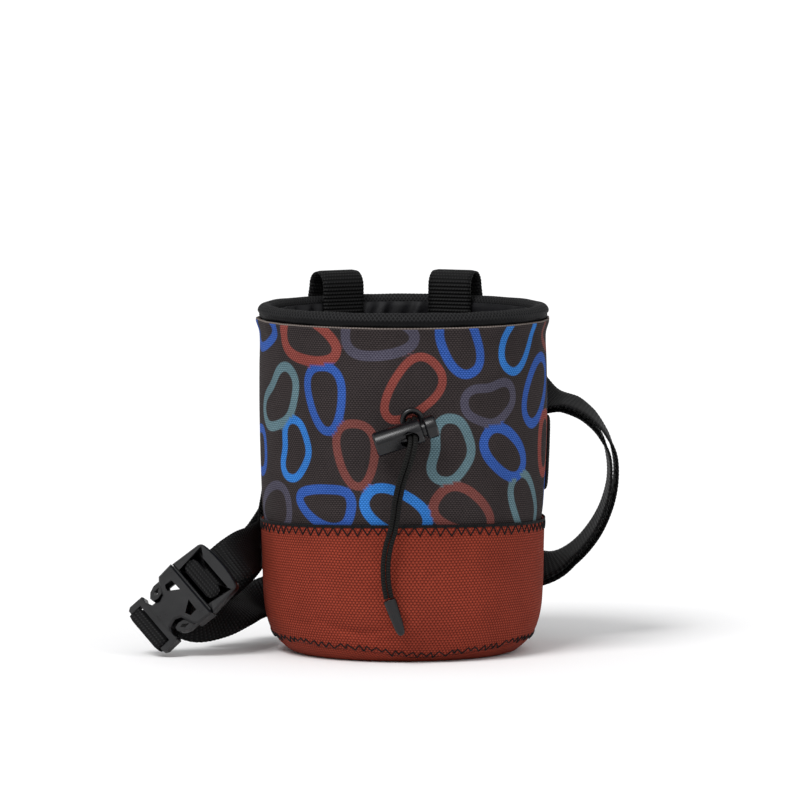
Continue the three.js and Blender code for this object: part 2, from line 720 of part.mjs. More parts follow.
function bucklePart() {
  const end = crossbar.outer;
  const mouthSide = BUCKLE_HALF_WIDTH * 1.02;
  const endSide = BUCKLE_HALF_WIDTH * 0.93;
  const cornerSide = endSide * 0.8;
  const frame = new THREE.Shape();
  frame.moveTo(socketMouth + GAP, -mouthSide);
  frame.lineTo(end - 3.6, -endSide);
  frame.quadraticCurveTo(end - 1, -endSide, end - 0.5, -cornerSide);
  frame.quadraticCurveTo(end + 1.2, 0, end - 0.5, cornerSide);
  frame.quadraticCurveTo(end - 1, endSide, end - 3.6, endSide);
  frame.lineTo(socketMouth + GAP, mouthSide);
  frame.closePath();
  const plate = slab(frame, FRAME_THICKNESS, 0.7);
  const inside = WEBBING_WIDTH / 2 + GAP;
  const tongue = BUCKLE_THICKNESS / 2 - BUCKLE_WALL - GAP;
  const root = block(socketMouth - 1.6, socketMouth + 1.1, BUCKLE_HALF_WIDTH * 0.88, -tongue, tongue);
  const open = cut(
    plate,
    block(socketMouth + 1, crossbar.inner, inside, -BUCKLE_THICKNESS, BUCKLE_THICKNESS),
  );
  const half = (frameBar.outer - frameBar.inner) / 2;
  const lock = block(frameBar.inner, frameBar.inner + half * 2, inside + 1, -1.1, 1.1);
  const guide = block(BUCKLE_REACH * -0.2, socketMouth, BUCKLE_HALF_WIDTH * 0.12, -tongue, tongue);
  const solid = join(
    open,
    root,
    lock,
    guide,
    slab(outline(PRONG_OUTLINE), tongue * 2),
    slab(outline(mirrorAcross(PRONG_OUTLINE)), tongue * 2),
  );
  const through = BUCKLE_THICKNESS * 2;
  return cut(
    solid,
    slab(outline(EAR_HOLE), through),
    slab(outline(mirrorAcross(EAR_HOLE)), through),
  );
}

// Cord lock frame: x along the barrel towards the plunger, z out of the cord hole's front
const lockFrame = new THREE.Matrix4()
  .makeTranslation(BAG_RADIUS * -0.101, -BAG_RADIUS - LOCK_RADIUS - 2.1, EYELET_HEIGHT - 6.5)
  .multiply(new THREE.Matrix4().makeRotationY(radians(-LOCK_TILT)))
  .multiply(new THREE.Matrix4().makeRotationX(radians(90 + LOCK_ROLL)));
const holePlace = LOCK_LENGTH * 0.2;
const cordPlace = holePlace + LOCK_HOLE - CORD_SPACING / 2 - CORD_DIAMETER / 2 - GAP;
const travel = CAP_TRAVEL_GAP - 0.2;

function lockSection(radius, flat) {
  // a circle with a flat at the front and one at the back
  const shape = new THREE.Shape();
  const half = Math.acos(flat / radius);
  const steps = 5;
  for (const middle of [0, Math.PI]) {
    for (let i = 0; i <= steps; i += 1) {
      const turn = middle - (Math.PI / 2 - half) + ((Math.PI - 2 * half) * i) / steps;
      const point = [radius * Math.cos(turn), radius * Math.sin(turn)];
      if (middle === 0 && i === 0) {
        shape.moveTo(...point);
      } else {
        shape.lineTo(...point);
      }
    }
  }
  shape.closePath();
  return shape;
}

function alongLock(shape, from, to, bevel) {
  // shape's y is the hole's direction; extruded along the barrel
  const geometry = slab(shape, to - from, bevel);
  geometry.rotateY(Math.PI / 2);
  geometry.rotateX(Math.PI / 2);
  geometry.translate((from + to) / 2, 0, 0);
  return geometry;
}

function oval(halfLength, halfWidth) {
  const shape = new THREE.Shape();
  shape.absellipse(0, 0, halfLength, halfWidth, 0, Math.PI * 2);
  return shape;
}

function lockBarrel() {
  const half = LOCK_LENGTH / 2;
  const body = alongLock(lockSection(LOCK_RADIUS, LOCK_FLAT), -half, half, 0.6);
  const bore = new THREE.CylinderGeometry(LOCK_BORE, LOCK_BORE, LOCK_LENGTH, 16);
  bore.rotateZ(Math.PI / 2);
  bore.translate(half * 0.4, 0, 0);
  const hole = slab(oval(LOCK_HOLE, LOCK_HOLE * 0.89), LOCK_RADIUS * 3);
  hole.translate(holePlace, 0, 0);
  return cut(body, bore, hole);
}

function lockPlunger() {
  const half = LOCK_LENGTH / 2;
  const from = half * 0.4 - half + GAP + travel;
  const to = half + CAP_TRAVEL_GAP;
  const stem = new THREE.CylinderGeometry(LOCK_BORE - GAP, LOCK_BORE - GAP, to - from + 0.5, 14);
  stem.rotateZ(Math.PI / 2);
  stem.translate((from + to + 0.5) / 2, 0, 0);
  const cap = alongLock(lockSection(LOCK_RADIUS * 0.92, LOCK_FLAT * 0.94), to, to + CAP_LENGTH, 0.7);
  const left = cordPlace - CORD_SPACING / 2 - CORD_DIAMETER / 2 - GAP * 2;
  const right = cordPlace + CORD_SPACING / 2 + CORD_DIAMETER / 2 + GAP + travel;
  const eye = new THREE.BoxGeometry(right - left, CORD_DIAMETER + GAP * 4, LOCK_RADIUS * 3);
  eye.translate((left + right) / 2, 0, 0);
  return cut(join(cap, stem), eye);
}

function eyelet() {
  const neck = EYELET_HOLE + 0.7;
  const face = 1.2;
  const deep = CLOTH + GAP;
  const rows = [
    [EYELET_HOLE, -deep + 0.2],
    [neck, -deep + 0.2],
    [neck, GAP],
    [EYELET_RADIUS, GAP],
    [EYELET_RADIUS - 0.3, GAP + face * 0.7],
    [EYELET_RADIUS - 1.1, GAP + face],
    [EYELET_HOLE + 0.5, GAP + face * 0.8],
    [EYELET_HOLE, GAP + face * 0.2],
  ];
  const points = [...rows, rows[0]].map(([radius, out]) => new THREE.Vector2(radius, out));
  const geometry = closed(new THREE.LatheGeometry(points, 20));
  geometry.rotateX(Math.PI);
  geometry.translate(0, -BAG_RADIUS, EYELET_HEIGHT);
  return geometry;
}

function strand(side) {
  // one of the two strands, beside the middle of the route
  const route = CORD_ROUTE.map((point) => new THREE.Vector3(...point));
  const middle = new THREE.CatmullRomCurve3(route, false, 'centripetal');
  const tilt = new THREE.Vector3(Math.cos(radians(LOCK_TILT)), 0, Math.sin(radians(LOCK_TILT)));
  const steps = 26;
  const points = [];
  for (let i = 0; i <= steps; i += 1) {
    const at = middle.getPointAt(i / steps);
    const along = middle.getTangentAt(i / steps);
    const aside = tilt.clone().addScaledVector(along, -tilt.dot(along)).normalize();
    points.push(at.addScaledVector(aside, (side * CORD_SPACING) / 2));
  }
  const section = new THREE.Shape();
  const sides = 8;
  for (let i = 0; i < sides; i += 1) {
    const turn = (2 * Math.PI * i) / sides;
    const point = [(CORD_DIAMETER / 2) * Math.cos(turn), (CORD_DIAMETER / 2) * Math.sin(turn)];
    if (i === 0) {
      section.moveTo(...point);
    } else {
      section.lineTo(...point);
    }
  }
  section.closePath();
  const extrudePath = new THREE.CatmullRomCurve3(points, false, 'centripetal');
  return new THREE.ExtrudeGeometry(section, { steps: 30, extrudePath });
}

function cordEnd() {
  // a flattened, tapering moulded tip
  const start = new THREE.Vector3(...CORD_ROUTE[CORD_ROUTE.length - 1]);
  const down = new THREE.Vector3(...CORD_END_TIP).sub(start).normalize();
  const profile = [
    { along: 0, radius: 0 },
    { along: 0, radius: 0.88 },
    { along: 0.05, radius: 1 },
    { along: 0.18, radius: 1 },
    { along: 0.6, radius: 0.86 },
    { along: 0.88, radius: 0.7 },
    { along: 0.97, radius: 0.45 },
    { along: 1, radius: 0 },
  ];
  const points = profile.map((row) => new THREE.Vector2(
    row.radius * CORD_END_RADIUS,
    row.along * CORD_END_LENGTH,
  ));
  const geometry = closed(new THREE.LatheGeometry(points, 12));
  geometry.scale(1, 1, 0.76);
  const aside = new THREE.Vector3(1, 0, 0).addScaledVector(down, -down.x).normalize();
  const facing = new THREE.Vector3().crossVectors(aside, down);
  geometry.applyMatrix4(new THREE.Matrix4().makeBasis(aside, down, facing));
  const seat = start.addScaledVector(down, GAP * 2);
  geometry.translate(seat.x, seat.y, seat.z);
  return geometry;
}

const LOOKS = {
  panel: material(0x38302f, 0.9),
  boot: material(0x8a3426, 0.92),
  black: material(0x141415, 0.85),
  nylon: material(0x101012, 0.55),
  plastic: material(0x232426, 0.45),
  cord: material(0x1a1a1a, 0.8),
};

const bag = new THREE.Group();
bag.add(piece('upper_panel', upperPanel(), LOOKS.panel));
bag.add(piece('lower_boot', drape(wall(bootOuter, CLOTH)), LOOKS.boot));
bag.add(piece('base_panel', basePanel(), LOOKS.boot));
bag.add(piece('rim_binding', rimBinding(), LOOKS.black));
bag.add(piece('lining_floor', liningFloor(), LOOKS.nylon));
bag.add(piece('lining_turn', liningBand(0, LINING_SEAMS.low), LOOKS.nylon));
bag.add(piece('lining', liningBand(LINING_SEAMS.low, LINING_SEAMS.high), LOOKS.nylon));
bag.add(piece('lining_mouth', liningBand(LINING_SEAMS.high, 1), LOOKS.nylon));
bag.add(piece('belt_loop_left', beltLoop(90 + LOOP_ANGLE), LOOKS.black));
bag.add(piece('belt_loop_right', beltLoop(90 - LOOP_ANGLE), LOOKS.black));
bag.add(piece('brush_loop', brushLoop(), LOOKS.black));
bag.add(piece('waist_belt', waistBelt(), LOOKS.black));
bag.add(piece('eyelet', eyelet(), LOOKS.plastic));
bag.add(piece('drawcord_left', strand(-1), LOOKS.cord));
bag.add(piece('drawcord_right', strand(1), LOOKS.cord));
bag.add(piece('cord_end', cordEnd(), LOOKS.plastic));

const lock = new THREE.Group();
lock.applyMatrix4(lockFrame);
lock.add(piece('cord_lock_barrel', lockBarrel(), LOOKS.plastic));
lock.add(piece('cord_lock_plunger', lockPlunger(), LOOKS.plastic));
bag.add(lock);

const buckle = new THREE.Group();
buckle.applyMatrix4(buckleFrame);
buckle.add(piece('buckle_socket', buckleSocket(), LOOKS.plastic));
buckle.add(piece('buckle_prongs', bucklePart(), LOOKS.plastic));
bag.add(buckle);

export default bag;
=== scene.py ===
"""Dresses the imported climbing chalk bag: cloth shells, webbing, drawcord, buckle and studio."""

from __future__ import annotations

import logging
import math
from dataclasses import dataclass
from enum import Enum
from typing import Any, Iterable, Sequence

import bmesh
import bpy
import numpy as np
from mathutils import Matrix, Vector

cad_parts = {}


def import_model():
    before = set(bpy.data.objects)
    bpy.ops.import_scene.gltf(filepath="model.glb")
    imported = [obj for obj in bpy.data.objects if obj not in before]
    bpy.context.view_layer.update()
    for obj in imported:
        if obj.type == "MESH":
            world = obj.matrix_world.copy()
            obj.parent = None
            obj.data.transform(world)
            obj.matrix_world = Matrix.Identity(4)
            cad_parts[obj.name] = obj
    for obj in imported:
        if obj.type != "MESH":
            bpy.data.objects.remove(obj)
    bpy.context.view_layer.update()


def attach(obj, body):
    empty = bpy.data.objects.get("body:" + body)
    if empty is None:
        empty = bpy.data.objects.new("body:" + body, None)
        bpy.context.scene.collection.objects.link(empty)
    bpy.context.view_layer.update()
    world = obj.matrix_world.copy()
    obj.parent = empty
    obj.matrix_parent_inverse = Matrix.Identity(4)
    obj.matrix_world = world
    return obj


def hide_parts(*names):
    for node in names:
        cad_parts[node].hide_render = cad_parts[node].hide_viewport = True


MM = 0.001
BRAID_PITCH = 1.6 * MM
BRAID_TURNS = 8.0
# Band on the binding tube's upper side where the braid shows, in relief and in light strands; below it the
# colour is painted shade.
BRAID_BAND = (-0.25, 0.2)
FRAYED_EDGE = (136.9 * MM, 137.1 * MM)
CLOTH_RADIUS = 58.0 * MM
UP = np.array([0.0, 0.0, 1.0])
Array = np.ndarray
Color = tuple[float, float, float]
Table = tuple[tuple[float, ...], ...]
Row = tuple[Sequence[float], Sequence[float]]
log = logging.getLogger("chalk_bag")


# Geometry


def turned(axis: str, degrees: float) -> Array:
    """Rotation matrix about the x, y or z axis.

    Args:
        axis: one of x, y and z.
        degrees: the turn, right-handed.

    Returns:
        A 3 by 3 matrix.
    """
    c, s = math.cos(math.radians(degrees)), math.sin(math.radians(degrees))
    first, second = {"x": (1, 2), "y": (2, 0), "z": (0, 1)}[axis]
    matrix = np.eye(3)
    matrix[first, first] = matrix[second, second] = c
    matrix[second, first] = s
    matrix[first, second] = -s
    return matrix


def unit(vectors: Array) -> Array:
    """Vectors divided by their own length."""
    return vectors / np.maximum(np.linalg.norm(vectors, axis=-1, keepdims=True), 1e-12)


def bell(distance: Array, reach: float) -> Array:
    """A smooth hump: one over e to the square of distance over reach."""
    return np.exp(-((distance / reach) ** 2))


def between(angle: Array, centre: float) -> Array:
    """Angle from centre in degrees, from -180 to 180."""
    return (angle - centre + 540.0) % 360.0 - 180.0


def smooth_step(value: Array, low: float, high: float) -> Array:
    """Zero below low, one above high, and a cubic ease between them."""
    share = np.clip((value - low) / (high - low), 0.0, 1.0)
    return share * share * (3.0 - 2.0 * share)


def outward_at(compass: float) -> Array:
    """Level direction away from the bag's axis at a compass angle in degrees."""
    turn = math.radians(compass)
    return np.array([math.cos(turn), math.sin(turn), 0.0])


def run_length(points: Array) -> Array:
    """Distance of each point from the first one along the line."""
    return np.concatenate([[0.0], np.cumsum(np.linalg.norm(np.diff(points, axis=0), axis=1))])


def heading(path: Array) -> Array:
    """Unit direction of a path at each of its points."""
    return unit(np.gradient(path, axis=0))


def square_to(vectors: Array, along: Array) -> Array:
    """Unit vectors without their part along a direction."""
    return unit(vectors - along * np.sum(vectors * along, axis=-1, keepdims=True))


def layered(*parts: Array) -> Array:
    """Arrays spread to one shape and stacked on a last axis."""
    return np.stack(np.broadcast_arrays(*parts), axis=-1)


def knot_curve(knots: Array, stops: Array, tension: float | None = None) -> Array:
    """Points of a Catmull-Rom curve through knots.

    Between two knots it is the cubic that leaves each along its neighbours' chord. The knots
    are spaced by the square root of their distance, or evenly where a tension is given.

    Args:
        knots: the points that it passes, one row each.
        stops: places along it, counted in knots.
        tension: share of the neighbours' chord that the even kind takes.

    Returns:
        One row for each stop.
    """
    padded = np.vstack([2 * knots[0] - knots[1], knots, 2 * knots[-1] - knots[-2]])
    cell = np.clip(np.floor(stops).astype(int), 0, len(knots) - 2)
    share = (stops - cell)[:, None]
    p0, p1, p2, p3 = (padded[cell + i] for i in range(4))
    if tension is None:
        gaps = [np.linalg.norm(b - a, axis=1, keepdims=True) ** 0.5
                for a, b in ((p0, p1), (p1, p2), (p2, p3))]
        d0, d1, d2 = (np.maximum(gap, 1e-6) for gap in gaps)
        leave = ((p1 - p0) / d0 - (p2 - p0) / (d0 + d1) + (p2 - p1) / d1) * d1
        reach = ((p2 - p1) / d1 - (p3 - p1) / (d1 + d2) + (p3 - p2) / d2) * d1
    else:
        leave = tension * (p2 - p0)
        reach = tension * (p3 - p1)
    square = -3 * p1 + 3 * p2 - 2 * leave - reach
    cube = 2 * p1 - 2 * p2 + leave + reach
    return p1 + share * (leave + share * (square + share * cube))


def even_steps(points: Array, step: float, *others: Array) -> tuple[Array, ...]:
    """Points a fixed step apart along a polyline, with other rows carried along.

    Args:
        points: the dense polyline.
        step: the wanted distance.
        others: arrays with a row for each point.

    Returns:
        The distances along it, the new points, and each other array at the same places.
    """
    length = run_length(points)
    count = max(2, int(round(length[-1] / step)) + 1)
    stops = np.linspace(0.0, length[-1], count)
    new = [np.stack([np.interp(stops, length, row[:, k]) for k in range(row.shape[1])], axis=1)
           for row in (points, *others)]
    return (stops, *new)


@dataclass
class Surface:
    """A grid of points with a UV place for each, wrapped round either way or open."""

    points: Array
    uv: Array
    wrap_rows: bool = False
    wrap_columns: bool = False
    cap_first: bool = False
    cap_last: bool = False
    flip: bool = False

    @classmethod
    def capped(cls, points: Array, uv: Array, flip: bool = False) -> "Surface":
        """A grid wrapped along its columns and closed at both ends."""
        return cls(points, uv, wrap_columns=True, cap_first=True, cap_last=True, flip=flip)

    def quads(self) -> tuple[Array, Array]:
        """Corner numbers of the faces in the points and in the UV grid."""
        rows, columns = self.points.shape[:2]
        i, j = np.meshgrid(np.arange(rows if self.wrap_rows else rows - 1),
                           np.arange(columns if self.wrap_columns else columns - 1), indexing="ij")
        order = ((0, 0), (1, 0), (1, 1), (0, 1))
        if self.flip:
            order = order[::-1]
        corners = [((i + a) % rows) * columns + (j + b) % columns for a, b in order]
        wide = self.uv.shape[1]
        places = [(i + a) * wide + (j + b) for a, b in order]
        return np.stack(corners, -1).reshape(-1, 4), np.stack(places, -1).reshape(-1, 4)


def add_object(name: str, data: bpy.types.ID) -> bpy.types.Object:
    """A new object in the scene."""
    made = bpy.data.objects.new(name, data)
    bpy.context.scene.collection.objects.link(made)
    return made


def build_piece(name: str, surfaces: Surface | Sequence[Surface], smooth: bool = True) -> bpy.types.Object:
    """Makes one object of one or more grids.

    Args:
        name: the piece's name.
        surfaces: its grids.
        smooth: whether its faces are shaded smoothly.

    Returns:
        The new object, linked to the scene.
    """
    parts = [surfaces] if isinstance(surfaces, Surface) else list(surfaces)
    points, faces, places = [], [], []
    start = 0
    for part in parts:
        corners, uv_corners = part.quads()
        rows, columns = part.points.shape[:2]
        flat_uv = part.uv.reshape(-1, 2)
        points.append(part.points.reshape(-1, 3))
        faces.extend((corners + start).tolist())
        places.append(flat_uv[uv_corners].reshape(-1, 2))
        for wanted, row, forward in ((part.cap_first, 0, True), (part.cap_last, rows - 1, False)):
            if wanted:
                ring = np.arange(columns) + row * columns
                ring = ring if forward != part.flip else ring[::-1]
                faces.append((ring + start).tolist())
                places.append(np.repeat(flat_uv[:1], columns, axis=0))
        start += rows * columns
    mesh = bpy.data.meshes.new(name)
    mesh.from_pydata(np.vstack(points).tolist(), [], faces)
    layer = mesh.uv_layers.new(name="cloth")
    layer.data.foreach_set("uv", np.vstack(places).astype(np.float32).ravel())
    mesh.polygons.foreach_set("use_smooth", [smooth] * len(mesh.polygons))
    mesh.update()
    return add_object(name, mesh)


def tube(path: Array, radius: float, sides: int, facing: Array) -> Surface:
    """A round tube along a path, closed at both ends.

    Each ring is the circle of the radius about the path in the plane square to it.

    Args:
        path: the points that it follows.
        radius: of the tube, one number or one for each point.
        sides: number of points round it.
        facing: the direction in which each ring starts, one row or one for each point.

    Returns:
        The grid, rows along the path.
    """
    along = heading(path)
    first = square_to(np.broadcast_to(facing, path.shape), along)
    second = np.cross(along, first)
    turn = np.linspace(0.0, 2 * math.pi, sides, endpoint=False)
    size = np.broadcast_to(radius, (len(path),))[:, None, None]
    ring = np.cos(turn)[None, :, None] * first[:, None] + np.sin(turn)[None, :, None] * second[:, None]
    points = path[:, None] + size * ring
    uv = layered(run_length(path)[:, None], np.linspace(0.0, 1.0, sides + 1)[None])
    return Surface.capped(points, uv, flip=True)


def ripples(across: Array, along: Array, seed: int, waves: Sequence[tuple[float, float]]) -> Array:
    """Soft unevenness: a sum of cosines in two directions with seeded phases.

    Args:
        across: first coordinate in radians round the bag.
        along: second coordinate in metres.
        seed: picks the phases.
        waves: for each wave its count round the bag and its turns per metre.

    Returns:
        Values from about -1 to 1.
    """
    phases = np.random.default_rng(seed).uniform(0, 2 * math.pi, len(waves))
    total = sum(np.cos(count * across + 2 * math.pi * turns * along + phase)
                for (count, turns), phase in zip(waves, phases))
    return total / math.sqrt(len(waves))


# Shader maths


class Value:
    """A shader socket on which sums and products add Math nodes."""

    def __init__(self, graph: "Graph", socket: bpy.types.NodeSocket) -> None:
        """Keeps the socket and the graph it stands in."""
        self.graph = graph
        self.socket = socket

    def __add__(self, other: "Value | float") -> "Value":
        """Sum."""
        return self.graph.math("ADD", self, other)

    def __mul__(self, other: "Value | float") -> "Value":
        """Product."""
        return self.graph.math("MULTIPLY", self, other)

    def __sub__(self, other: "Value | float") -> "Value":
        """Difference."""
        return self.graph.math("SUBTRACT", self, other)

    def lifted(self) -> "Value":
        """The range from -1 to 1 brought to 0 to 1."""
        return self * 0.5 + 0.5


class Graph:
    """The node tree of one material."""

    def __init__(self, name: str) -> None:
        """Starts a material with a principled shader."""
        self.material = bpy.data.materials.new(name)
        self.material.use_nodes = True
        self.tree = self.material.node_tree
        self.shader = next(n for n in self.tree.nodes if n.type == "BSDF_PRINCIPLED")

    def node(self, kind: str, settings: dict[str, Any] | None = None, **inputs: Any) -> bpy.types.Node:
        """Adds a node.

        Args:
            kind: the node's type.
            settings: properties that are set first.
            inputs: values or links of its sockets, by name with _ for a blank.

        Returns:
            The node.
        """
        made = self.tree.nodes.new(kind)
        for key, value in (settings or {}).items():
            setattr(made, key, value)
        for key, value in inputs.items():
            self.feed(made.inputs[key.replace("_", " ")], value)
        return made

    def feed(self, target: bpy.types.NodeSocket, value: Any) -> None:
        """Links a Value to a socket or sets the socket."""
        if isinstance(value, Value):
            self.tree.links.new(value.socket, target)
        else:
            target.default_value = value

    def math(self, operation: str, *values: Any) -> Value:
        """One Math node."""
        made = self.tree.nodes.new("ShaderNodeMath")
        made.operation = operation
        for target, value in zip(made.inputs, values):
            self.feed(target, value)
        return Value(self, made.outputs[0])

    def uv(self) -> tuple[Value, Value]:
        """The piece's own UV places: along and across, in metres."""
        source = self.node("ShaderNodeUVMap", {"uv_map": "cloth"})
        split = self.node("ShaderNodeSeparateXYZ", Vector=Value(self, source.outputs[0]))
        return Value(self, split.outputs[0]), Value(self, split.outputs[1])

    def place(self) -> Value:
        """Object coordinates."""
        source = self.node("ShaderNodeTexCoord")
        return Value(self, source.outputs["Object"])

    def wave(self, value: Value, pitch: float) -> Value:
        """Cosine of a value with the pitch given."""
        return self.math("COSINE", value * (2 * math.pi / pitch))

    def slant(self, u: Value, v: Value, pitch: float, turns: float) -> Value:
        """Cosine of slanted stripes, with a pitch along and a number of turns across."""
        return self.math("COSINE", u * (2 * math.pi / pitch) + v * (2 * math.pi * turns))

    def noise(self, scale: float, detail: float) -> Value:
        """Noise from 0 to 1 on object coordinates."""
        made = self.node("ShaderNodeTexNoise", Vector=self.place(), Scale=scale, Detail=detail)
        return Value(self, made.outputs[0])

    def attribute(self, name: str, color: bool = False) -> Value:
        """A mesh attribute."""
        made = self.node("ShaderNodeAttribute", {"attribute_name": name})
        return Value(self, made.outputs["Color" if color else "Fac"])

    def ramp(self, value: Value, low: float, high: float) -> Value:
        """Zero below low, one above high, eased between them."""
        made = self.node("ShaderNodeMapRange", {"interpolation_type": "SMOOTHSTEP"},
                         Value=value, From_Min=low, From_Max=high)
        return Value(self, made.outputs[0])

    def mix(self, share: Value | float, first: Any, second: Any) -> Value:
        """Colour between two colours."""
        made = self.node("ShaderNodeMix", {"data_type": "RGBA"})
        self.feed(made.inputs["Factor"], share)
        for target, value in ((made.inputs[6], first), (made.inputs[7], second)):
            self.feed(target, (*value, 1.0) if isinstance(value, tuple) and len(value) == 3 else value)
        return Value(self, made.outputs[2])

    def dress(self, color: Any, roughness: Any, height: Value | None = None, depth: float = 0.0001,
              **sockets: float) -> bpy.types.Material:
        """Joins the looks to the shader.

        Args:
            color: base colour, a Value or three numbers.
            roughness: a Value or a number.
            height: bump from 0 to 1.
            depth: height of the bump in metres.
            sockets: constant values of other sockets.

        Returns:
            The material.
        """
        base = (*color, 1.0) if isinstance(color, tuple) else color
        self.feed(self.shader.inputs["Base Color"], base)
        self.feed(self.shader.inputs["Roughness"], roughness)
        for key, value in sockets.items():
            self.feed(self.shader.inputs[key.replace("_", " ")], value)
        if height is not None:
            bump = self.node("ShaderNodeBump", Height=height, Distance=depth, Strength=1.0)
            self.tree.links.new(bump.outputs[0], self.shader.inputs["Normal"])
        return self.material


@dataclass(frozen=True)
class WovenCloth:
    """Plain weave seen as staggered crowns of yarn.

    Across and along are the pitches of the yarns, and weft is the rows' share of the relief.
    """

    name: str
    ground: Color
    crown: Color
    across: float
    along: float
    depth: float
    roughness: float = 0.85
    weft: float = 0.5
    printed: bool = False

    def build(self) -> bpy.types.Material:
        """Colour from the weave and the print, with broad patches of painted shade for soft undulations; bump
        from the yarns.
        """
        graph = Graph(self.name)
        u, v = graph.uv()
        rows = graph.wave(v + graph.noise(55.0, 1.0) * (0.8 * MM), self.along)
        checks = graph.wave(u, self.across) * graph.wave(v + 0.35 * MM, 2 * self.along)
        crowns = (rows * self.weft + checks * (1 - self.weft)).lifted()
        undulation_shade = graph.noise(60.0, 3.0)
        fleck = graph.noise(2400.0, 1.0)
        lit = graph.ramp(crowns + fleck * 0.5, 0.4, 1.1)
        ground: Any = self.ground
        crown: Any = self.crown
        if self.printed:
            inked = graph.ramp(graph.attribute("print_edge") + fleck * 0.00025, 0.00042, -0.00018)
            ink = graph.attribute("print_tint", color=True)
            deep = graph.mix(0.55, ink, (0.004, 0.004, 0.006))
            ground = graph.mix(inked, self.ground, deep)
            crown = graph.mix(inked, self.crown, graph.mix(0.05, ink, (0.8, 0.8, 0.8)))
            frayed = graph.ramp(v, *FRAYED_EDGE)
            crown = graph.mix(frayed, crown, (0.2, 0.17, 0.155))
            ground = graph.mix(frayed, ground, (0.07, 0.055, 0.05))
        color = graph.mix(lit, ground, crown)
        # Painted shade: broad noise patches darken the cloth and stand in for its soft undulations.
        color = graph.mix(graph.ramp(undulation_shade, 0.25, 0.8) * 0.22, color, tuple(0.55 * c for c in self.ground))
        return graph.dress(color, self.roughness, crowns + fleck * 0.35, self.depth,
                           Specular_IOR_Level=0.08)


@dataclass(frozen=True)
class Webbing:
    """Ribbed tape: cross ribs, each a row of short yarn bumps."""

    name: str
    base: Color
    light: Color
    rib: float
    yarn: float
    depth: float
    roughness: float = 0.6

    def build(self) -> bpy.types.Material:
        """Ribs across the tape with yarns along them, set off by half a step in turn."""
        graph = Graph(self.name)
        u, v = graph.uv()
        ribs = graph.wave(u, self.rib).lifted()
        yarns = graph.wave(v + u * (0.5 * self.yarn / self.rib), self.yarn).lifted()
        fleck = graph.noise(1800.0, 1.0)
        height = ribs * 0.75 + ribs * yarns * 0.5 + fleck * 0.2
        lit = graph.ramp(ribs * yarns + fleck * 0.5, 0.5, 1.3)
        color = graph.mix(lit, self.base, self.light)
        return graph.dress(color, self.roughness, height, self.depth, Specular_IOR_Level=0.12)


@dataclass(frozen=True)
class Braid:
    """Braided sleeve: two sets of slanted strands that cross.

    With band set, the light strands show on the upper side of the tube alone, and its lower side stays dark
    as painted shade.
    """

    name: str
    base: Color
    light: Color
    pitch: float
    turns: float
    depth: float
    roughness: float = 0.7
    band: bool = False

    def build(self) -> bpy.types.Material:
        """Bump and light flecks where the slanted strands crown."""
        graph = Graph(self.name)
        u, v = graph.uv()
        one, two = (graph.slant(u, v, self.pitch, turns) for turns in (self.turns, -self.turns))
        crowns = graph.math("MAXIMUM", one, two).lifted()
        fleck = graph.noise(2000.0, 1.0)
        lit = graph.ramp(crowns + fleck * 0.5, 0.85, 1.4)
        if self.band:
            # Painted shade: below the band the tube keeps only its dark base colour.
            lit = lit * graph.ramp(graph.math("SINE", v * (2 * math.pi)), *BRAID_BAND)
        color = graph.mix(lit, self.base, self.light)
        return graph.dress(color, self.roughness, crowns + fleck * 0.25, self.depth, Specular_IOR_Level=0.12)


@dataclass(frozen=True)
class Nylon:
    """Thin smooth lining cloth with fine crumples."""

    name: str
    base: Color

    def build(self) -> bpy.types.Material:
        """Fine plain weave with soft crumples."""
        graph = Graph(self.name)
        crumple = graph.noise(140.0, 4.0)
        u, v = graph.uv()
        weave = graph.wave(u, 0.0004) * graph.wave(v, 0.0004)
        color = graph.mix(crumple * 0.5, self.base, tuple(2.2 * c for c in self.base))
        return graph.dress(color, 0.5, crumple + weave * 0.03, 0.0006, Specular_IOR_Level=0.2)


@dataclass(frozen=True)
class MouldedPlastic:
    """Black moulded nylon with a fine spark-eroded grain and rubbed spots."""

    name: str
    base: Color
    roughness: float
    grain: float = 0.00002

    def build(self) -> bpy.types.Material:
        """Grain in the bump and slow changes in the roughness."""
        graph = Graph(self.name)
        grain = graph.noise(4200.0, 2.0)
        slow = graph.noise(160.0, 3.0)
        rough = slow * 0.16 + (self.roughness - 0.08)
        color = graph.mix(slow * 0.4, self.base, tuple(1.6 * c for c in self.base))
        return graph.dress(color, rough, grain, self.grain, Specular_IOR_Level=0.38)


@dataclass(frozen=True)
class Thread:
    """Sewing thread with a slight twist."""

    name: str
    base: Color

    def build(self) -> bpy.types.Material:
        """Twist shown as slanted bumps along the thread."""
        graph = Graph(self.name)
        u, v = graph.uv()
        twist = graph.slant(u, v, 0.6 * MM, 1.0)
        color = graph.mix(twist * 0.25 + 0.25, self.base, tuple(2.5 * c for c in self.base))
        return graph.dress(color, 0.7, twist.lifted(), 0.00005, Specular_IOR_Level=0.15)


class Finish(Enum):
    """The finishes of the bag, each with the record's material slot."""

    PANEL = "panel_fabric"
    BOOT = "boot_fabric"
    BINDING = "binding"
    LINING = "lining_nylon"
    WEBBING = "webbing"
    ELASTIC = "elastic"
    PLASTIC = "black_plastic"
    CORD = "cord"
    THREAD = "cord_thread"


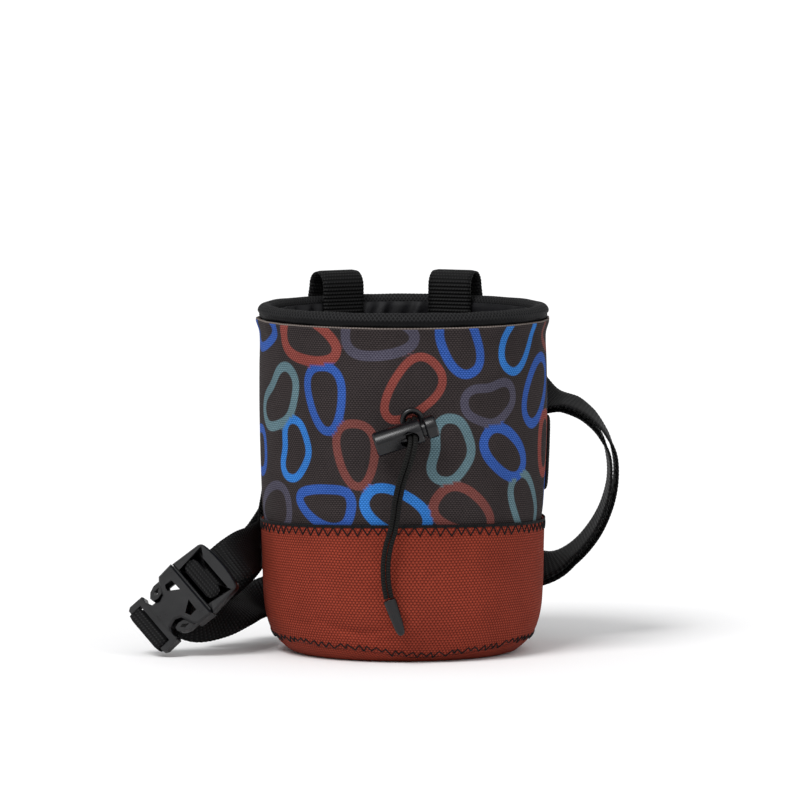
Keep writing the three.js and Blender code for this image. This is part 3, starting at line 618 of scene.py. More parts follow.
RECIPES: dict[Finish, Any] = {
    Finish.PANEL: WovenCloth("printed_canvas", (0.011, 0.0085, 0.009), (0.05, 0.04, 0.04),
                             1.3 * MM, 0.85 * MM, 0.1 * MM, weft=0.4, printed=True),
    Finish.BOOT: WovenCloth("rust_canvas", (0.085, 0.012, 0.007), (0.305, 0.048, 0.026),
                            1.5 * MM, 1.05 * MM, 0.16 * MM, weft=0.34),
    # The binding's braid has painted shade on the lower side of its tube.
    Finish.BINDING: Braid("rim_braid", (0.003, 0.003, 0.0034), (0.024, 0.024, 0.025),
                          BRAID_PITCH, BRAID_TURNS, 0.1 * MM, band=True),
    Finish.LINING: Nylon("lining_nylon", (0.004, 0.004, 0.005)),
    Finish.WEBBING: Webbing("ribbed_webbing", (0.0025, 0.0025, 0.0028), (0.02, 0.02, 0.02),
                            1.5 * MM, 1.25 * MM, 0.2 * MM),
    Finish.ELASTIC: Webbing("woven_elastic", (0.003, 0.003, 0.0034), (0.012, 0.012, 0.012),
                            0.9 * MM, 0.8 * MM, 0.12 * MM),
    Finish.PLASTIC: MouldedPlastic("black_plastic", (0.0022, 0.0022, 0.003), 0.3),
    Finish.CORD: Braid("braided_cord", (0.002, 0.002, 0.002), (0.014, 0.014, 0.013),
                       1.1 * MM, 2.0, 0.12 * MM),
    Finish.THREAD: Thread("black_thread", (0.003, 0.003, 0.0035)),
}


class Wardrobe:
    """Makes each finish once and puts pieces into the frame."""

    def __init__(self) -> None:
        """Starts with no material made."""
        self.made: dict[Finish, bpy.types.Material] = {}

    def material(self, finish: Finish) -> bpy.types.Material:
        """The material of a finish, made at its first use."""
        if finish not in self.made:
            self.made[finish] = RECIPES[finish].build()
        return self.made[finish]

    def place(self, piece: bpy.types.Object, finish: Finish, *nodes: str,
              body: str = "root") -> bpy.types.Object:
        """Dresses a piece, lets it ride on a body and stand for CAD nodes.

        Args:
            piece: the object.
            finish: its look.
            nodes: CAD nodes that it replaces.
            body: the body that it rides on.

        Returns:
            The piece.
        """
        piece.data.materials.clear()
        piece.data.materials.append(self.material(finish))
        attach(piece, body)
        if nodes:
            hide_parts(*nodes)
        log.info("piece %s: %d faces", piece.name, len(piece.data.polygons))
        return piece


# The bag's form


@dataclass(frozen=True)
class BagForm:
    """Outer skin of the bag as a function of the compass angle and the height."""

    radius: float = 59.3 * MM
    height: float = 143.4 * MM
    seam: float = 54.3 * MM
    seam_rise: float = 2.2 * MM
    cloth: float = 1.1 * MM
    rim_tube: float = 3.1 * MM
    rim_out: float = 0.7 * MM
    boot_rows: Table = (
        (0.0, 0.75), (0.012, 0.79), (0.058, 0.852), (0.11, 0.893), (0.2, 0.932), (0.33, 0.962),
        (0.53, 0.977), (0.8, 0.984), (1.0, 0.988), (1.2, 0.99),
    )
    panel_rows: Table = (
        (0.3, 0.966), (0.38, 0.967), (0.42, 0.978), (0.54, 0.992), (0.68, 1.0), (0.82, 0.998),
        (0.9, 0.993), (0.93, 0.996), (0.965, 1.012),
    )
    dents: Table = (
        (-118, 0.09, 16, 0.05, 0.018),
        (-88, 0.05, 10, 0.04, 0.012),
        (-52, 0.07, 13, 0.05, 0.014),
        (35, 0.1, 18, 0.06, 0.012),
        (120, 0.08, 20, 0.06, 0.014),
    )

    @property
    def rim_middle(self) -> float:
        """Radius of the binding's middle line."""
        return self.radius - self.rim_tube + self.rim_out

    def profile(self, rows: Sequence[tuple[float, float]], height: Array, unit_height: float) -> Array:
        """Radius at a height: a smooth curve through the rows of height and radius shares."""
        knots = np.array(rows)
        stops = np.linspace(0, len(knots) - 1, len(knots) * 30)
        dense = knot_curve(knots, stops)
        return np.interp(height / unit_height, dense[:, 0], dense[:, 1]) * self.radius

    def dent_share(self, degrees: Array, height: Array) -> Array:
        """Sum of the soft dents, as a share of the radius."""
        return sum(depth * bell(between(degrees, angle), reach) * bell(height / self.height - place, tall)
                   for angle, place, reach, tall, depth in self.dents)

    def rise(self, degrees: Array, height: Array) -> Array:
        """How far the seam bows up at the front."""
        front = np.maximum(0.0, -np.sin(np.radians(degrees))) ** 2
        return self.seam_rise * front * bell((height - self.seam) / self.seam, 0.4)

    def boot_folds(self, degrees: Array, height: Array) -> Array:
        """Folds of the boot in metres, inwards: sagging creases above the lower seam."""
        turn = np.radians(degrees)
        soft = ripples(turn, height, 5, ((3, 6), (5, -9), (8, 14), (11, -5))) * 0.22 * MM
        total = soft * smooth_step(height, 2 * MM, 14 * MM)
        for angle, low, width, sag, deep in ((-112, 12.5, 17, 3.4, 0.9), (-100, 9.4, 13, 2.2, 0.6),
                                             (-74, 11.5, 12, 2.6, 0.3), (-48, 12.0, 15, 3.0, 0.35),
                                             (-140, 15.0, 12, 3.0, 0.4), (60, 12.5, 16, 3.2, 0.4),
                                             (150, 13.0, 17, 3.0, 0.45)):
            aside = between(degrees, angle) / width
            line = low * MM + sag * MM * aside ** 2
            total = total + deep * MM * bell(aside, 1.0) * bell(height - line, 1.5 * MM)
        return total

    def panel_folds(self, degrees: Array, height: Array) -> Array:
        """Unevenness of the panel in metres, inwards: slack below the rim and a pull at the eyelet."""
        turn = np.radians(degrees)
        slack = ripples(turn, height, 9, ((4, 4), (7, -6), (9, 11), (13, 3))) * 0.25 * MM
        edge = ripples(turn, height, 12, ((15, 0), (23, 8), (31, -6))) * 0.22 * MM
        pull = bell(between(degrees, -90) / 14, 1.0) * bell(height - 100.2 * MM, 14 * MM) * 0.5 * MM
        return slack + edge * smooth_step(height, 122 * MM, 137 * MM) + pull

    def lip(self, degrees: Array, height: Array) -> Array:
        """How much more the panel's top edge stands off at the sides."""
        side = np.abs(np.cos(np.radians(degrees))) ** 4
        return 0.7 * MM * side * smooth_step(height, 131 * MM, 136.5 * MM)

    def boot(self, degrees: Array, height: Array, lift: float | Array = 0.0) -> Array:
        """Points on the boot's skin, lifted off it by lift."""
        reach = self.profile(self.boot_rows, height, self.seam)
        reach = reach * (1 - self.dent_share(degrees, height)) - self.boot_folds(degrees, height) + lift
        return self.wrap(degrees, height, reach)

    def panel(self, degrees: Array, height: Array, lift: float | Array = 0.0) -> Array:
        """Points on the panel's skin, lifted off it by lift."""
        reach = self.profile(self.panel_rows, height, self.height)
        reach = reach - self.panel_folds(degrees, height) + self.lip(degrees, height) + lift
        return self.wrap(degrees, height, reach)

    def wrap(self, degrees: Array, height: Array, reach: Array) -> Array:
        """Points at a radius and height round the bag's axis, with the seam's rise."""
        turn = np.radians(degrees)
        up = height + self.rise(degrees, height)
        return layered(reach * np.cos(turn), reach * np.sin(turn), up)

    def lower_seam(self, degrees: Array) -> Array:
        """Height of the seam between boot and base, low at the front."""
        front = bell(between(degrees, -84) / 38, 1.0)
        wave = ripples(np.radians(degrees), degrees * 0, 21, ((2, 0), (5, 0), (9, 0))) * 0.5 * MM
        return 7.2 * MM - 3.6 * MM * front + wave


def closed_wall(form_points: Any, heights: Array, columns: int, cloth: float) -> Surface:
    """A ring-shaped cloth wall: up the outside, over the edge, down the inside.

    Args:
        form_points: function of angle, height and lift that gives points.
        heights: the rows of the outside, upwards, in metres or one row for each column.
        columns: number of points round the bag.
        cloth: wall thickness.

    Returns:
        The closed grid with UV in metres round and up.
    """
    degrees = np.linspace(0.0, 360.0, columns + 1)
    outside = np.broadcast_to(heights if heights.ndim == 2 else heights[:, None], (len(heights), columns + 1))
    inside = outside[::-1][:: max(1, len(heights) // 8)]
    up = np.vstack([outside, inside])
    lift = np.concatenate([np.zeros(len(outside)), np.full(len(inside), -cloth)])[:, None]
    lift = lift + np.zeros_like(up)
    lift[[0, len(outside) - 1]] -= 0.35 * cloth
    angles = np.broadcast_to(degrees, up.shape)
    points = form_points(angles, up, lift)[:, :-1]
    around = np.radians(angles) * CLOTH_RADIUS
    uv = np.stack([around, up], axis=-1)
    uv = np.concatenate([uv, uv[:1]], axis=0)
    return Surface(points, uv, wrap_rows=True, wrap_columns=True, flip=True)


class Motif(Enum):
    """Shapes of the printed rings."""

    PEBBLE = 0
    OVAL = 1
    BEAN = 2
    WEDGE = 3


@dataclass(frozen=True)
class PrintedRings:
    """Loose rings printed on the panel in staggered rows."""

    rows: tuple[float, ...] = (62.0, 86.0, 110.0, 133.0)
    per_row: int = 11
    line: float = 3.9 * MM
    long: float = 14.0 * MM
    short: float = 8.2 * MM
    skin: float = 59.0 * MM
    reach: float = 22.0 * MM
    sway: float = 3.5
    sway_up: float = 2.5
    seed: int = 14
    tints: tuple[Color, ...] = (
        (0.012, 0.09, 0.43),
        (0.27, 0.042, 0.028),
        (0.11, 0.205, 0.24),
        (0.013, 0.2, 0.66),
        (0.065, 0.058, 0.095),
        (0.012, 0.09, 0.43),
        (0.19, 0.04, 0.03),
    )

    def outline(self, motif: Motif, long: float, short: float) -> Array:
        """Closed line of one ring about its middle.

        An oval is pulled in on one side for a bean, and narrowed to one end for a wedge or pebble.
        """
        turn = np.linspace(0, 2 * math.pi, 72, endpoint=False)
        c, s = np.cos(turn), np.sin(turn)
        x = np.sign(c) * np.abs(c) ** 0.85 * long
        y = np.sign(s) * np.abs(s) ** 0.85 * short
        if motif is Motif.BEAN:
            y = y - 0.34 * short * bell(x / long, 0.55)
        elif motif is Motif.PEBBLE:
            y = y * (1 + 0.3 * x / long) + 0.12 * short * x / long
        elif motif is Motif.WEDGE:
            y = y * (1 - 0.42 * x / long)
            x = x + 0.16 * long * (y / short) * (1 - (x / long) ** 2)
        return np.stack([x, y], axis=1)

    def apply(self, piece: bpy.types.Object, degrees: Array, height: Array) -> None:
        """Writes each vertex's distance from the nearest ring's line, and that ring's tint."""
        random = np.random.default_rng(self.seed)
        nearest = np.full(degrees.shape, 1.0)
        tint = np.zeros((*degrees.shape, 4))
        tint[..., 3] = 1.0
        kinds = list(Motif)
        number = 0
        for row, middle in enumerate(self.rows):
            for column in range(self.per_row):
                slot = column + 0.5 * (row % 2) + 0.12 * row
                compass = slot * 360 / self.per_row + random.uniform(-self.sway, self.sway)
                up = middle * MM + random.uniform(-self.sway_up, self.sway_up) * MM
                lean = random.uniform(0, 180)
                scale = random.uniform(0.86, 1.08)
                line = self.outline(kinds[int(random.integers(0, 4))], self.long * scale, self.short * scale)
                line = line @ turned("z", lean)[:2, :2].T
                x = np.radians(between(degrees, compass)) * self.skin
                y = height - up
                near = (np.abs(x) < self.reach) & (np.abs(y) < self.reach)
                spot = np.stack([x[near], y[near]], axis=-1)[:, None]
                start, end = line[None], np.roll(line, -1, axis=0)[None]
                side = end - start
                share = np.clip(np.sum((spot - start) * side, -1) / np.sum(side * side, -1), 0, 1)
                away = np.linalg.norm(spot - start - share[..., None] * side, axis=-1).min(axis=1)
                away = away - self.line * (0.5 + 0.06 * math.sin(number))
                closer = away < nearest[near]
                color = np.array(self.tints[(number * 3 + row) % len(self.tints)])
                found = nearest[near]
                found[closer] = away[closer]
                nearest[near] = found
                tints = tint[near]
                tints[closer, :3] = color
                tint[near] = tints
                number += 1
        edge = piece.data.attributes.new("print_edge", "FLOAT", "POINT")
        edge.data.foreach_set("value", nearest.astype(np.float32).ravel())
        color = piece.data.attributes.new("print_tint", "FLOAT_COLOR", "POINT")
        color.data.foreach_set("color", tint.astype(np.float32).ravel())


@dataclass
class ClothBody:
    """The printed panel, the boot, the base, the rim and the lining."""

    wardrobe: Wardrobe
    form: BagForm
    columns: int = 360
    panel_low: float = 50.0 * MM
    panel_top: float = 137.6 * MM
    boot_edge: float = 0.3 * MM
    seam_overlap: float = 1.2 * MM
    base_tuck: float = 0.55 * MM
    braid_height: float = 0.12 * MM
    lining_cloth: float = 0.6 * MM

    @property
    def compass(self) -> Array:
        """Angles of the columns, from 0 to 360 degrees."""
        return np.linspace(0.0, 360.0, self.columns + 1)

    def build(self) -> None:
        """Makes the five shells."""
        self.panel()
        self.boot()
        self.base()
        self.rim()
        self.lining()

    def panel(self) -> None:
        """The printed wall, from behind the boot's edge to under the binding."""
        form = self.form
        heights = np.linspace(self.panel_low, self.panel_top, 80)
        wall = closed_wall(form.panel, heights, self.columns, form.cloth)
        piece = build_piece("panel_wall", wall)
        angles = np.broadcast_to(self.compass[:-1], wall.points.shape[:2])
        up = wall.uv[:-1, :-1, 1]
        PrintedRings().apply(piece, np.array(angles), np.array(up))
        self.wardrobe.place(piece, Finish.PANEL, "upper_panel")

    def boot(self) -> None:
        """The rust wall, from the lower seam to the zigzag seam."""
        form = self.form
        degrees = self.compass
        low = form.lower_seam(degrees) - self.seam_overlap
        share = np.linspace(0.0, 1.0, 60)[:, None]
        heights = low * (1 - share) + (form.seam + self.boot_edge) * share
        wall = closed_wall(form.boot, heights, self.columns, form.cloth)
        self.wardrobe.place(build_piece("boot_wall", wall), Finish.BOOT, "lower_boot")

    def base(self) -> None:
        """The round base with its edge turned up to the lower seam."""
        form = self.form
        degrees = self.compass
        top = form.lower_seam(degrees) + 1.0 * MM
        level = degrees * 0
        rows = [form.wrap(degrees, level, level + share * form.radius)
                for share in np.linspace(0.02, 0.745, 24)]
        rows += [form.boot(degrees, top * share, -self.base_tuck * smooth_step(share + level, 0.0, 0.3))
                 for share in np.linspace(0.0, 1.0, 12)]
        rows += [form.boot(degrees, np.maximum(top * share, form.cloth), -self.base_tuck - form.cloth)
                 for share in np.linspace(1.0, 0.1, 5)]
        rows += [form.wrap(degrees, level + form.cloth, level + share * form.radius) for share in (0.7, 0.02)]
        points = np.stack(rows)
        points[..., 2] = np.maximum(points[..., 2], 0.0)
        flat_uv = unit(points[..., :2]) * run_length(points[:, 0])[:, None, None]
        grid = Surface.capped(points[:, :-1], flat_uv, flip=True)
        self.wardrobe.place(build_piece("base_cloth", grid), Finish.BOOT, "base_panel")

    def rim(self) -> None:
        """The binding: a braided tube with a crease along its outer side."""
        form = self.form
        columns, sides = 1000, 36
        degrees = np.linspace(0.0, 360.0, columns + 1)
        turn = np.linspace(0.0, 2 * math.pi, sides + 1)
        centre = form.rim_middle
        u = np.radians(degrees) * centre
        v = turn / (2 * math.pi)
        phase_one = 2 * math.pi * (u[None] / BRAID_PITCH + v[:, None] * BRAID_TURNS)
        phase_two = 2 * math.pi * (u[None] / BRAID_PITCH - v[:, None] * BRAID_TURNS)
        braided = smooth_step(np.cos(turn - math.pi / 2), *BRAID_BAND)[:, None]
        braid = np.maximum(np.cos(phase_one), np.cos(phase_two)) * self.braid_height * braided
        crease = 0.5 * MM * bell(between(np.degrees(turn), -16) / 13, 1.0)[:, None]
        wobble = ripples(np.radians(degrees), degrees * 0, 3, ((4, 0), (9, 0), (17, 0)))[None] * 0.12 * MM
        size = form.rim_tube - 0.1 * MM + braid - crease + wobble
        reach = centre + size * np.cos(turn)[:, None]
        up = form.height - form.rim_tube + size * np.sin(turn)[:, None]
        angle = np.radians(degrees)[None]
        points = layered(reach * np.cos(angle), reach * np.sin(angle), up)
        uv = layered(u[None], v[:, None])
        grid = Surface(points[:-1, :-1], uv, wrap_rows=True, wrap_columns=True, flip=True)
        self.wardrobe.place(build_piece("rim_braid", grid), Finish.BINDING, "rim_binding")

    def lining(self) -> None:
        """The nylon cup, gathered in soft pleats below the rim."""
        form = self.form
        degrees = self.compass
        mouth = form.radius - 2 * form.rim_tube + 0.4 * MM
        knots = np.array([(2.0, 2.6), (20.0, 2.6), (38.0, 2.7), (46.0, 5.2), (50.6, 10.5), (53.0, 20.0),
                          (54.0, 40.0), (54.3, 60.0), (55.4, 85.0), (56.0, 110.0), (55.2, 126.0),
                          (53.4, 134.0), (mouth / MM - 0.4, 138.4), (mouth / MM, 140.4)]) * MM
        inner = knot_curve(knots, np.linspace(0, len(knots) - 1, 96))
        outer = inner[::-1][::5] + np.array([self.lining_cloth, 0.0])
        outer[-2:, 1] -= 0.9 * MM
        loop = np.vstack([inner, outer])
        up = np.broadcast_to(loop[:, 1:], (len(loop), self.columns + 1))
        below = (137.2 * MM - up) / form.height
        fade = bell(below - 0.03, 0.07)
        share = np.zeros_like(up)
        for angle, reach, deep in ((158, 5, 0.05), (148, 3.5, 0.035), (138, 4, 0.06), (128, 3, 0.03),
                                   (102, 3, 0.035), (96, 2.5, 0.05), (88, 3.5, 0.03), (80, 2.5, 0.045),
                                   (40, 10, 0.02), (26, 6, 0.03), (8, 5, 0.03), (-20, 6, 0.03),
                                   (-45, 5, 0.035), (-70, 6, 0.04), (-92, 4, 0.05), (-120, 6, 0.035),
                                   (-150, 6, 0.03), (180, 5, 0.03)):
            slant = angle + 60 * below
            share = share + deep * bell(between(degrees[None] - slant, 0.0), reach)
        waves = ((9, 12), (14, -20), (21, 33), (5, -41))
        crumple = ripples(np.radians(degrees)[None], up, 31, waves) * 0.35 * MM
        reach = loop[:, :1] * (1 - share * fade) + crumple * smooth_step(up, 12 * MM, 60 * MM) * fade
        angle = np.radians(degrees)[None]
        points = layered(reach * np.cos(angle), reach * np.sin(angle), up)
        uv = layered(angle * form.radius, up)
        grid = Surface.capped(points[:, :-1], uv)
        self.wardrobe.place(build_piece("lining_cup", grid), Finish.LINING, "lining_floor", "lining_turn",
                            "lining", "lining_mouth")


# Tape


@dataclass(frozen=True)
class Tape:
    """Webbing or elastic along a track: rows of places and outer faces."""

    width: float = 19.0 * MM
    thickness: float = 1.4 * MM
    rib: float = 1.5 * MM
    rib_height: float = 0.07 * MM
    selvedge: float = 0.08 * MM
    step: float = 0.375 * MM

    def section(self) -> Array:
        """Rounded oblong: the long sides flat, the selvedges round."""
        flat = np.linspace(-1.0, 1.0, 9)
        bow = np.sqrt(np.clip(1 - np.abs(flat) ** 14, 0, 1))
        top = np.stack([flat, 0.35 + 0.65 * bow], axis=1)
        return np.vstack([top, -top])

    def surface(self, rows: Sequence[Row]) -> Surface:
        """Carries the section along the track.

        Args:
            rows: place in metres and outer face of each knot.

        Returns:
            A closed grid with ribs across it and UV in metres along and across.
        """
        at = np.array([row[0] for row in rows], float)
        facing = unit(np.array([row[1] for row in rows], float))
        stops = np.linspace(0, len(at) - 1, (len(at) - 1) * 40 + 1)
        length, path, face = even_steps(knot_curve(at, stops), self.step, knot_curve(facing, stops, 0.3))
        along = heading(path)
        face = square_to(face, along)
        across = np.cross(face, along)
        section = self.section()
        ribs = np.cos(2 * math.pi * length / self.rib)[:, None]
        wide = section[None, :, 0] * (self.width / 2 + self.selvedge * ribs)
        high = section[None, :, 1] * (self.thickness / 2 - self.rib_height + self.rib_height * ribs)
        points = path[:, None] + wide[..., None] * across[:, None] + high[..., None] * face[:, None]
        v = np.concatenate([section[:, 0], section[:1, 0]]) * self.width / 2
        uv = layered(length[:, None], v[None])
        return Surface.capped(points, uv)


@dataclass
class BeltLoops:
    """Two webbing loops over the back rim."""

    wardrobe: Wardrobe
    form: BagForm
    angle: float = 26.0
    rise: float = 10.4 * MM
    tail: float = 42.0 * MM
    gap: float = 0.3 * MM
    tape: Tape = Tape()

    def rows(self, compass: float) -> list[Row]:
        """Track of one loop: up inside the mouth, over the rim, down the outside."""
        form, tape = self.form, self.tape
        outward = outward_at(compass)
        inside = form.rim_middle - form.rim_tube - self.gap * 2 - form.cloth - tape.thickness / 2 - 0.9 * MM
        strap = form.radius + self.gap * 2 + tape.thickness / 2 + 1.1 * MM
        outside = strap + 1.1 * MM + tape.thickness + self.gap
        arch = (form.radius + self.gap + 3 * MM - inside) / 2
        arch_height = form.height + self.rise - tape.thickness / 2 - arch
        sewn_height = form.height - self.tail
        sewn = form.radius + self.gap + tape.thickness / 2
        plain = [(inside, form.height - 17 * MM, -1, 0), (inside, arch_height - 6 * MM, -1, 0)]
        for turn in range(0, 181, 20):
            c, s = math.cos(math.radians(turn)), math.sin(math.radians(turn))
            plain.append((inside + arch * (1 - c), arch_height + arch * s, -c, s))
        plain += [
            (outside, form.height - 4 * MM, 1, 0),
            (outside, sewn_height + 12 * MM, 1, 0),
            (sewn + 1.4 * MM, sewn_height + 4 * MM, 1, 0),
            (sewn, sewn_height - 2 * MM, 1, 0),
            (sewn, sewn_height - 7 * MM, 1, 0),
        ]
        return [(outward * reach + UP * height, outward * a + UP * b) for reach, height, a, b in plain]

    def build(self) -> None:
        """Makes the left and the right loop."""
        for name, compass in (("left", 90 + self.angle), ("right", 90 - self.angle)):
            piece = build_piece(f"loop_{name}", self.tape.surface(self.rows(compass)))
            self.wardrobe.place(piece, Finish.WEBBING, f"belt_loop_{name}")


@dataclass
class BrushLoop:
    """A wide elastic band on the right side."""

    wardrobe: Wardrobe
    form: BagForm
    compass: float = 19.5
    spread: float = 43.0
    middle: float = 81.5 * MM
    half_height: float = 15.5 * MM
    bulge: float = 0.9 * MM
    rib: float = 0.9 * MM
    rib_height: float = 0.05 * MM
    inner_lift: float = 0.3 * MM
    edge_lift: float = 0.45 * MM
    thickness: float = 1.15 * MM

    def build(self) -> None:
        """A band that stands off a little between its sewn ends, with rounded corners."""
        form = self.form
        columns, rows = 90, 60
        share = np.linspace(0.0, 1.0, columns)[None]
        up = np.linspace(-1.0, 1.0, rows)[:, None]
        corner = np.sqrt(np.clip(1 - np.abs(up) ** 16, 0.0, 1.0))
        degrees = self.compass + (share - 0.5) * self.spread * (0.94 + 0.06 * corner)
        height = self.middle + up * self.half_height
        bulge = self.bulge * np.sin(math.pi * share)
        ribs = self.rib_height * np.cos(2 * math.pi * (height / self.rib))
        round_ends = np.sqrt(np.clip(1 - np.abs(2 * share - 1) ** 18, 0, 1))
        round_off = np.sqrt(np.clip(1 - np.abs(up) ** 10, 0, 1)) * round_ends
        lift = self.edge_lift + bulge + (self.thickness + ribs) * round_off
        outer = form.panel(degrees + 0 * height, height + 0 * degrees, lift)
        inner = form.panel(degrees + 0 * height, height + 0 * degrees, self.inner_lift + bulge * 0.9)
        uv = layered(height, np.radians(degrees) * form.radius)
        front = Surface(outer, uv)
        back = Surface(inner, uv, flip=True)
        piece = build_piece("brush_elastic", [front, back])
        weld(piece, 0.25 * MM)
        self.wardrobe.place(piece, Finish.ELASTIC, "brush_loop")


def weld(piece: bpy.types.Object, distance: float) -> None:
    """Merges vertices that are nearer than distance and turns the faces outwards."""
    mesh = bmesh.new()
    mesh.from_mesh(piece.data)
    bmesh.ops.remove_doubles(mesh, verts=mesh.verts, dist=distance)
    bmesh.ops.recalc_face_normals(mesh, faces=mesh.faces)
    mesh.to_mesh(piece.data)
    mesh.free()


# Buckle and belt


@dataclass(frozen=True)
class BuckleFrame:
    """Place of the buckle: x towards the ladder lock, y across, z out of its front.

    The socket's bar, the locking bar and the crossbar are told in millimetres from its middle.
    """

    bar_near: float = 16.5
    bar_far: float = 19.5
    bar_half: float = 1.5
    lock_near: float = 9.3
    lock_far: float = 14.7
    lock_half: float = 1.1
    frame_half: float = 2.6
    cross_near: float = 18.0
    cross_far: float = 22.4
    slope: float = 42.5
    roll: float = 24.0
    yaw: float = -3.5

    def matrix(self) -> Array:
        """Rotation from the buckle's own axes."""
        return turned("z", self.yaw) @ turned("y", -self.slope) @ turned("x", 90 - self.roll)

    def origin(self, form: BagForm) -> Array:
        """Middle of the buckle."""
        return np.array([form.radius * -1.551, form.radius * -0.31, form.height * 0.16])

    def place(self, form: BagForm, local: Array) -> Array:
        """Points of the buckle's own axes in the bag's frame."""
        return self.origin(form) + local @ self.matrix().T


@dataclass
class WaistBelt:
    """The belt: one strip wound twice behind the bag, from socket to ladder lock.

    Rows of free stretches hold x, y and z as shares of the bag's radius and height, then the
    direction of the outer face. The fold's radius, the gap and the pitch are in millimetres.
    """

    wardrobe: Wardrobe
    form: BagForm
    buckle: BuckleFrame
    gap: float = 0.3
    pitch: float = 2.2
    tape: Tape = Tape(step=0.5 * MM)
    fold_place: tuple[float, float, float] = (-1.38, 0.11, 0.16)
    fold_compass: float = 98.0
    fold_lean: float = 10.0
    fold_radius: float = 2.4
    fold_advance: float = 0.5
    hoop: Table = (
        (1.04, 0.61, 0.208, 0.35, 0.5, -0.79),
        (1.228, 0.6, 0.247, 0.6, 0.2, -0.78),
        (1.365, 0.575, 0.308, 0.82, 0.12, -0.56),
        (1.46, 0.55, 0.383, 0.95, 0.05, -0.3),
        (1.507, 0.53, 0.465, 1, 0, 0),
        (1.5, 0.53, 0.54, 0.97, 0, 0.25),
        (1.443, 0.535, 0.6, 0.8, -0.1, 0.6),
        (1.343, 0.54, 0.653, 0.6, -0.2, 0.77),
        (1.217, 0.565, 0.685, 0.35, -0.28, 0.9),
        (1.06, 0.64, 0.693, 0.1, -0.45, 0.88),
        (0.83, 0.77, 0.765, -0.42, -0.72, 0.42),
    )
    lower_strand: Table = (
        (-1.45, -0.14, 0.097, -0.35, 0.9, -0.15),
        (-1.31, -0.04, 0.1, -0.4, 0.8, -0.4),
        (-1.16, 0.11, 0.114, -0.3, 0.62, -0.72),
        (-1.085, 0.25, 0.123, -0.36, 0.54, -0.76),
        (-1, 0.475, 0.121, -0.45, 0.6, -0.66),
    )
    upper_strand: Table = (
        (-1.035, 0.07, 0.292, 0.88, -0.42, 0.2),
        (-1.105, -0.1, 0.288, 0.66, -0.66, 0.36),
        (-1.17, -0.235, 0.279, 0.15, -0.9, 0.4),
    )
    to_fold: Table = (
        (-0.99, 0.41, 0.3, 0.75, -0.65, 0.1),
        (-1.147, 0.25, 0.238, 0.35, -0.9, 0.2),
        (-1.28, 0.165, 0.194, 0.2, -0.97, 0.15),
    )
    from_fold: Table = (
        (-1.28, 0.228, 0.128, -0.2, 0.9, -0.4),
        (-1.135, 0.345, 0.116, -0.22, 0.55, -0.8),
        (-1.03, 0.52, 0.118, -0.35, 0.5, -0.79),
    )

    def on_buckle(self, *rows: Sequence[float]) -> list[Row]:
        """Knots in the buckle's long middle plane, in millimetres from its middle.

        Each row holds x and z of the place, then x and z of the outer face.
        """
        matrix = self.buckle.matrix()
        return [(self.buckle.place(self.form, np.array([x, 0.0, z]) * MM),
                 matrix @ np.array([face_x, 0.0, face_z])) for x, z, face_x, face_z in rows]

    def free(self, rows: Iterable[Sequence[float]], layer: float = 0.0) -> list[Row]:
        """Knots given as shares of the bag's sizes, moved out by a part of the layers' pitch."""
        knots = []
        for x, y, z, *facing in rows:
            face = unit(np.array(facing, float))
            at = np.array([x * self.form.radius, y * self.form.radius, z * self.form.height])
            knots.append((at + face * layer * self.pitch * MM, face))
        return knots

    def behind(self, radius: float, stops: Iterable[tuple[float, float]], facing: int,
               layer: float) -> list[Row]:
        """Knots along the bag's back: compass angle and share of the bag's height."""
        reach = radius + facing * layer * self.pitch * MM
        knots = []
        for compass, share in stops:
            outward = outward_at(compass)
            knots.append((outward * reach + UP * (share * self.form.height), outward * facing))
        return knots

    def socket_wrap(self) -> list[Row]:
        """Round the socket's bar: up through the slot, over the bar and back below."""
        tape = self.tape.thickness / MM
        half = self.buckle.bar_half + self.gap + tape / 2
        inner = self.gap + tape / 2 - self.buckle.bar_near
        outer = -self.buckle.bar_far - self.gap - tape / 2
        return self.on_buckle(
            (inner + 3.1, -3.8, 0, 1),
            (inner + 1.5, -3.7, 0.3, 1),
            (inner + 0.2, -3, 0.7, 0.7),
            (inner, -1.7, 1, 0.1),
            (inner, 0.7, 1, 0),
            (inner - 0.25, half - 0.3, 0.7, 0.7),
            (inner - 1.6, half + 0.1, 0, 1),
            (outer + 1.4, half + 0.1, 0, 1),
            (outer + 0.3, half - 0.3, -0.7, 0.7),
            (outer, 0.8, -1, 0),
            (outer, -1.4, -1, 0),
            (outer + 0.4, -3.4, -0.9, -0.5),
            (outer + 2.2, -5.3, -0.5, -1),
            (outer + 5.2, -6, 0, -1),
            (outer + 10, -6.3, 0, -1),
            (outer + 14, -6.9, 0.1, -1),
        )

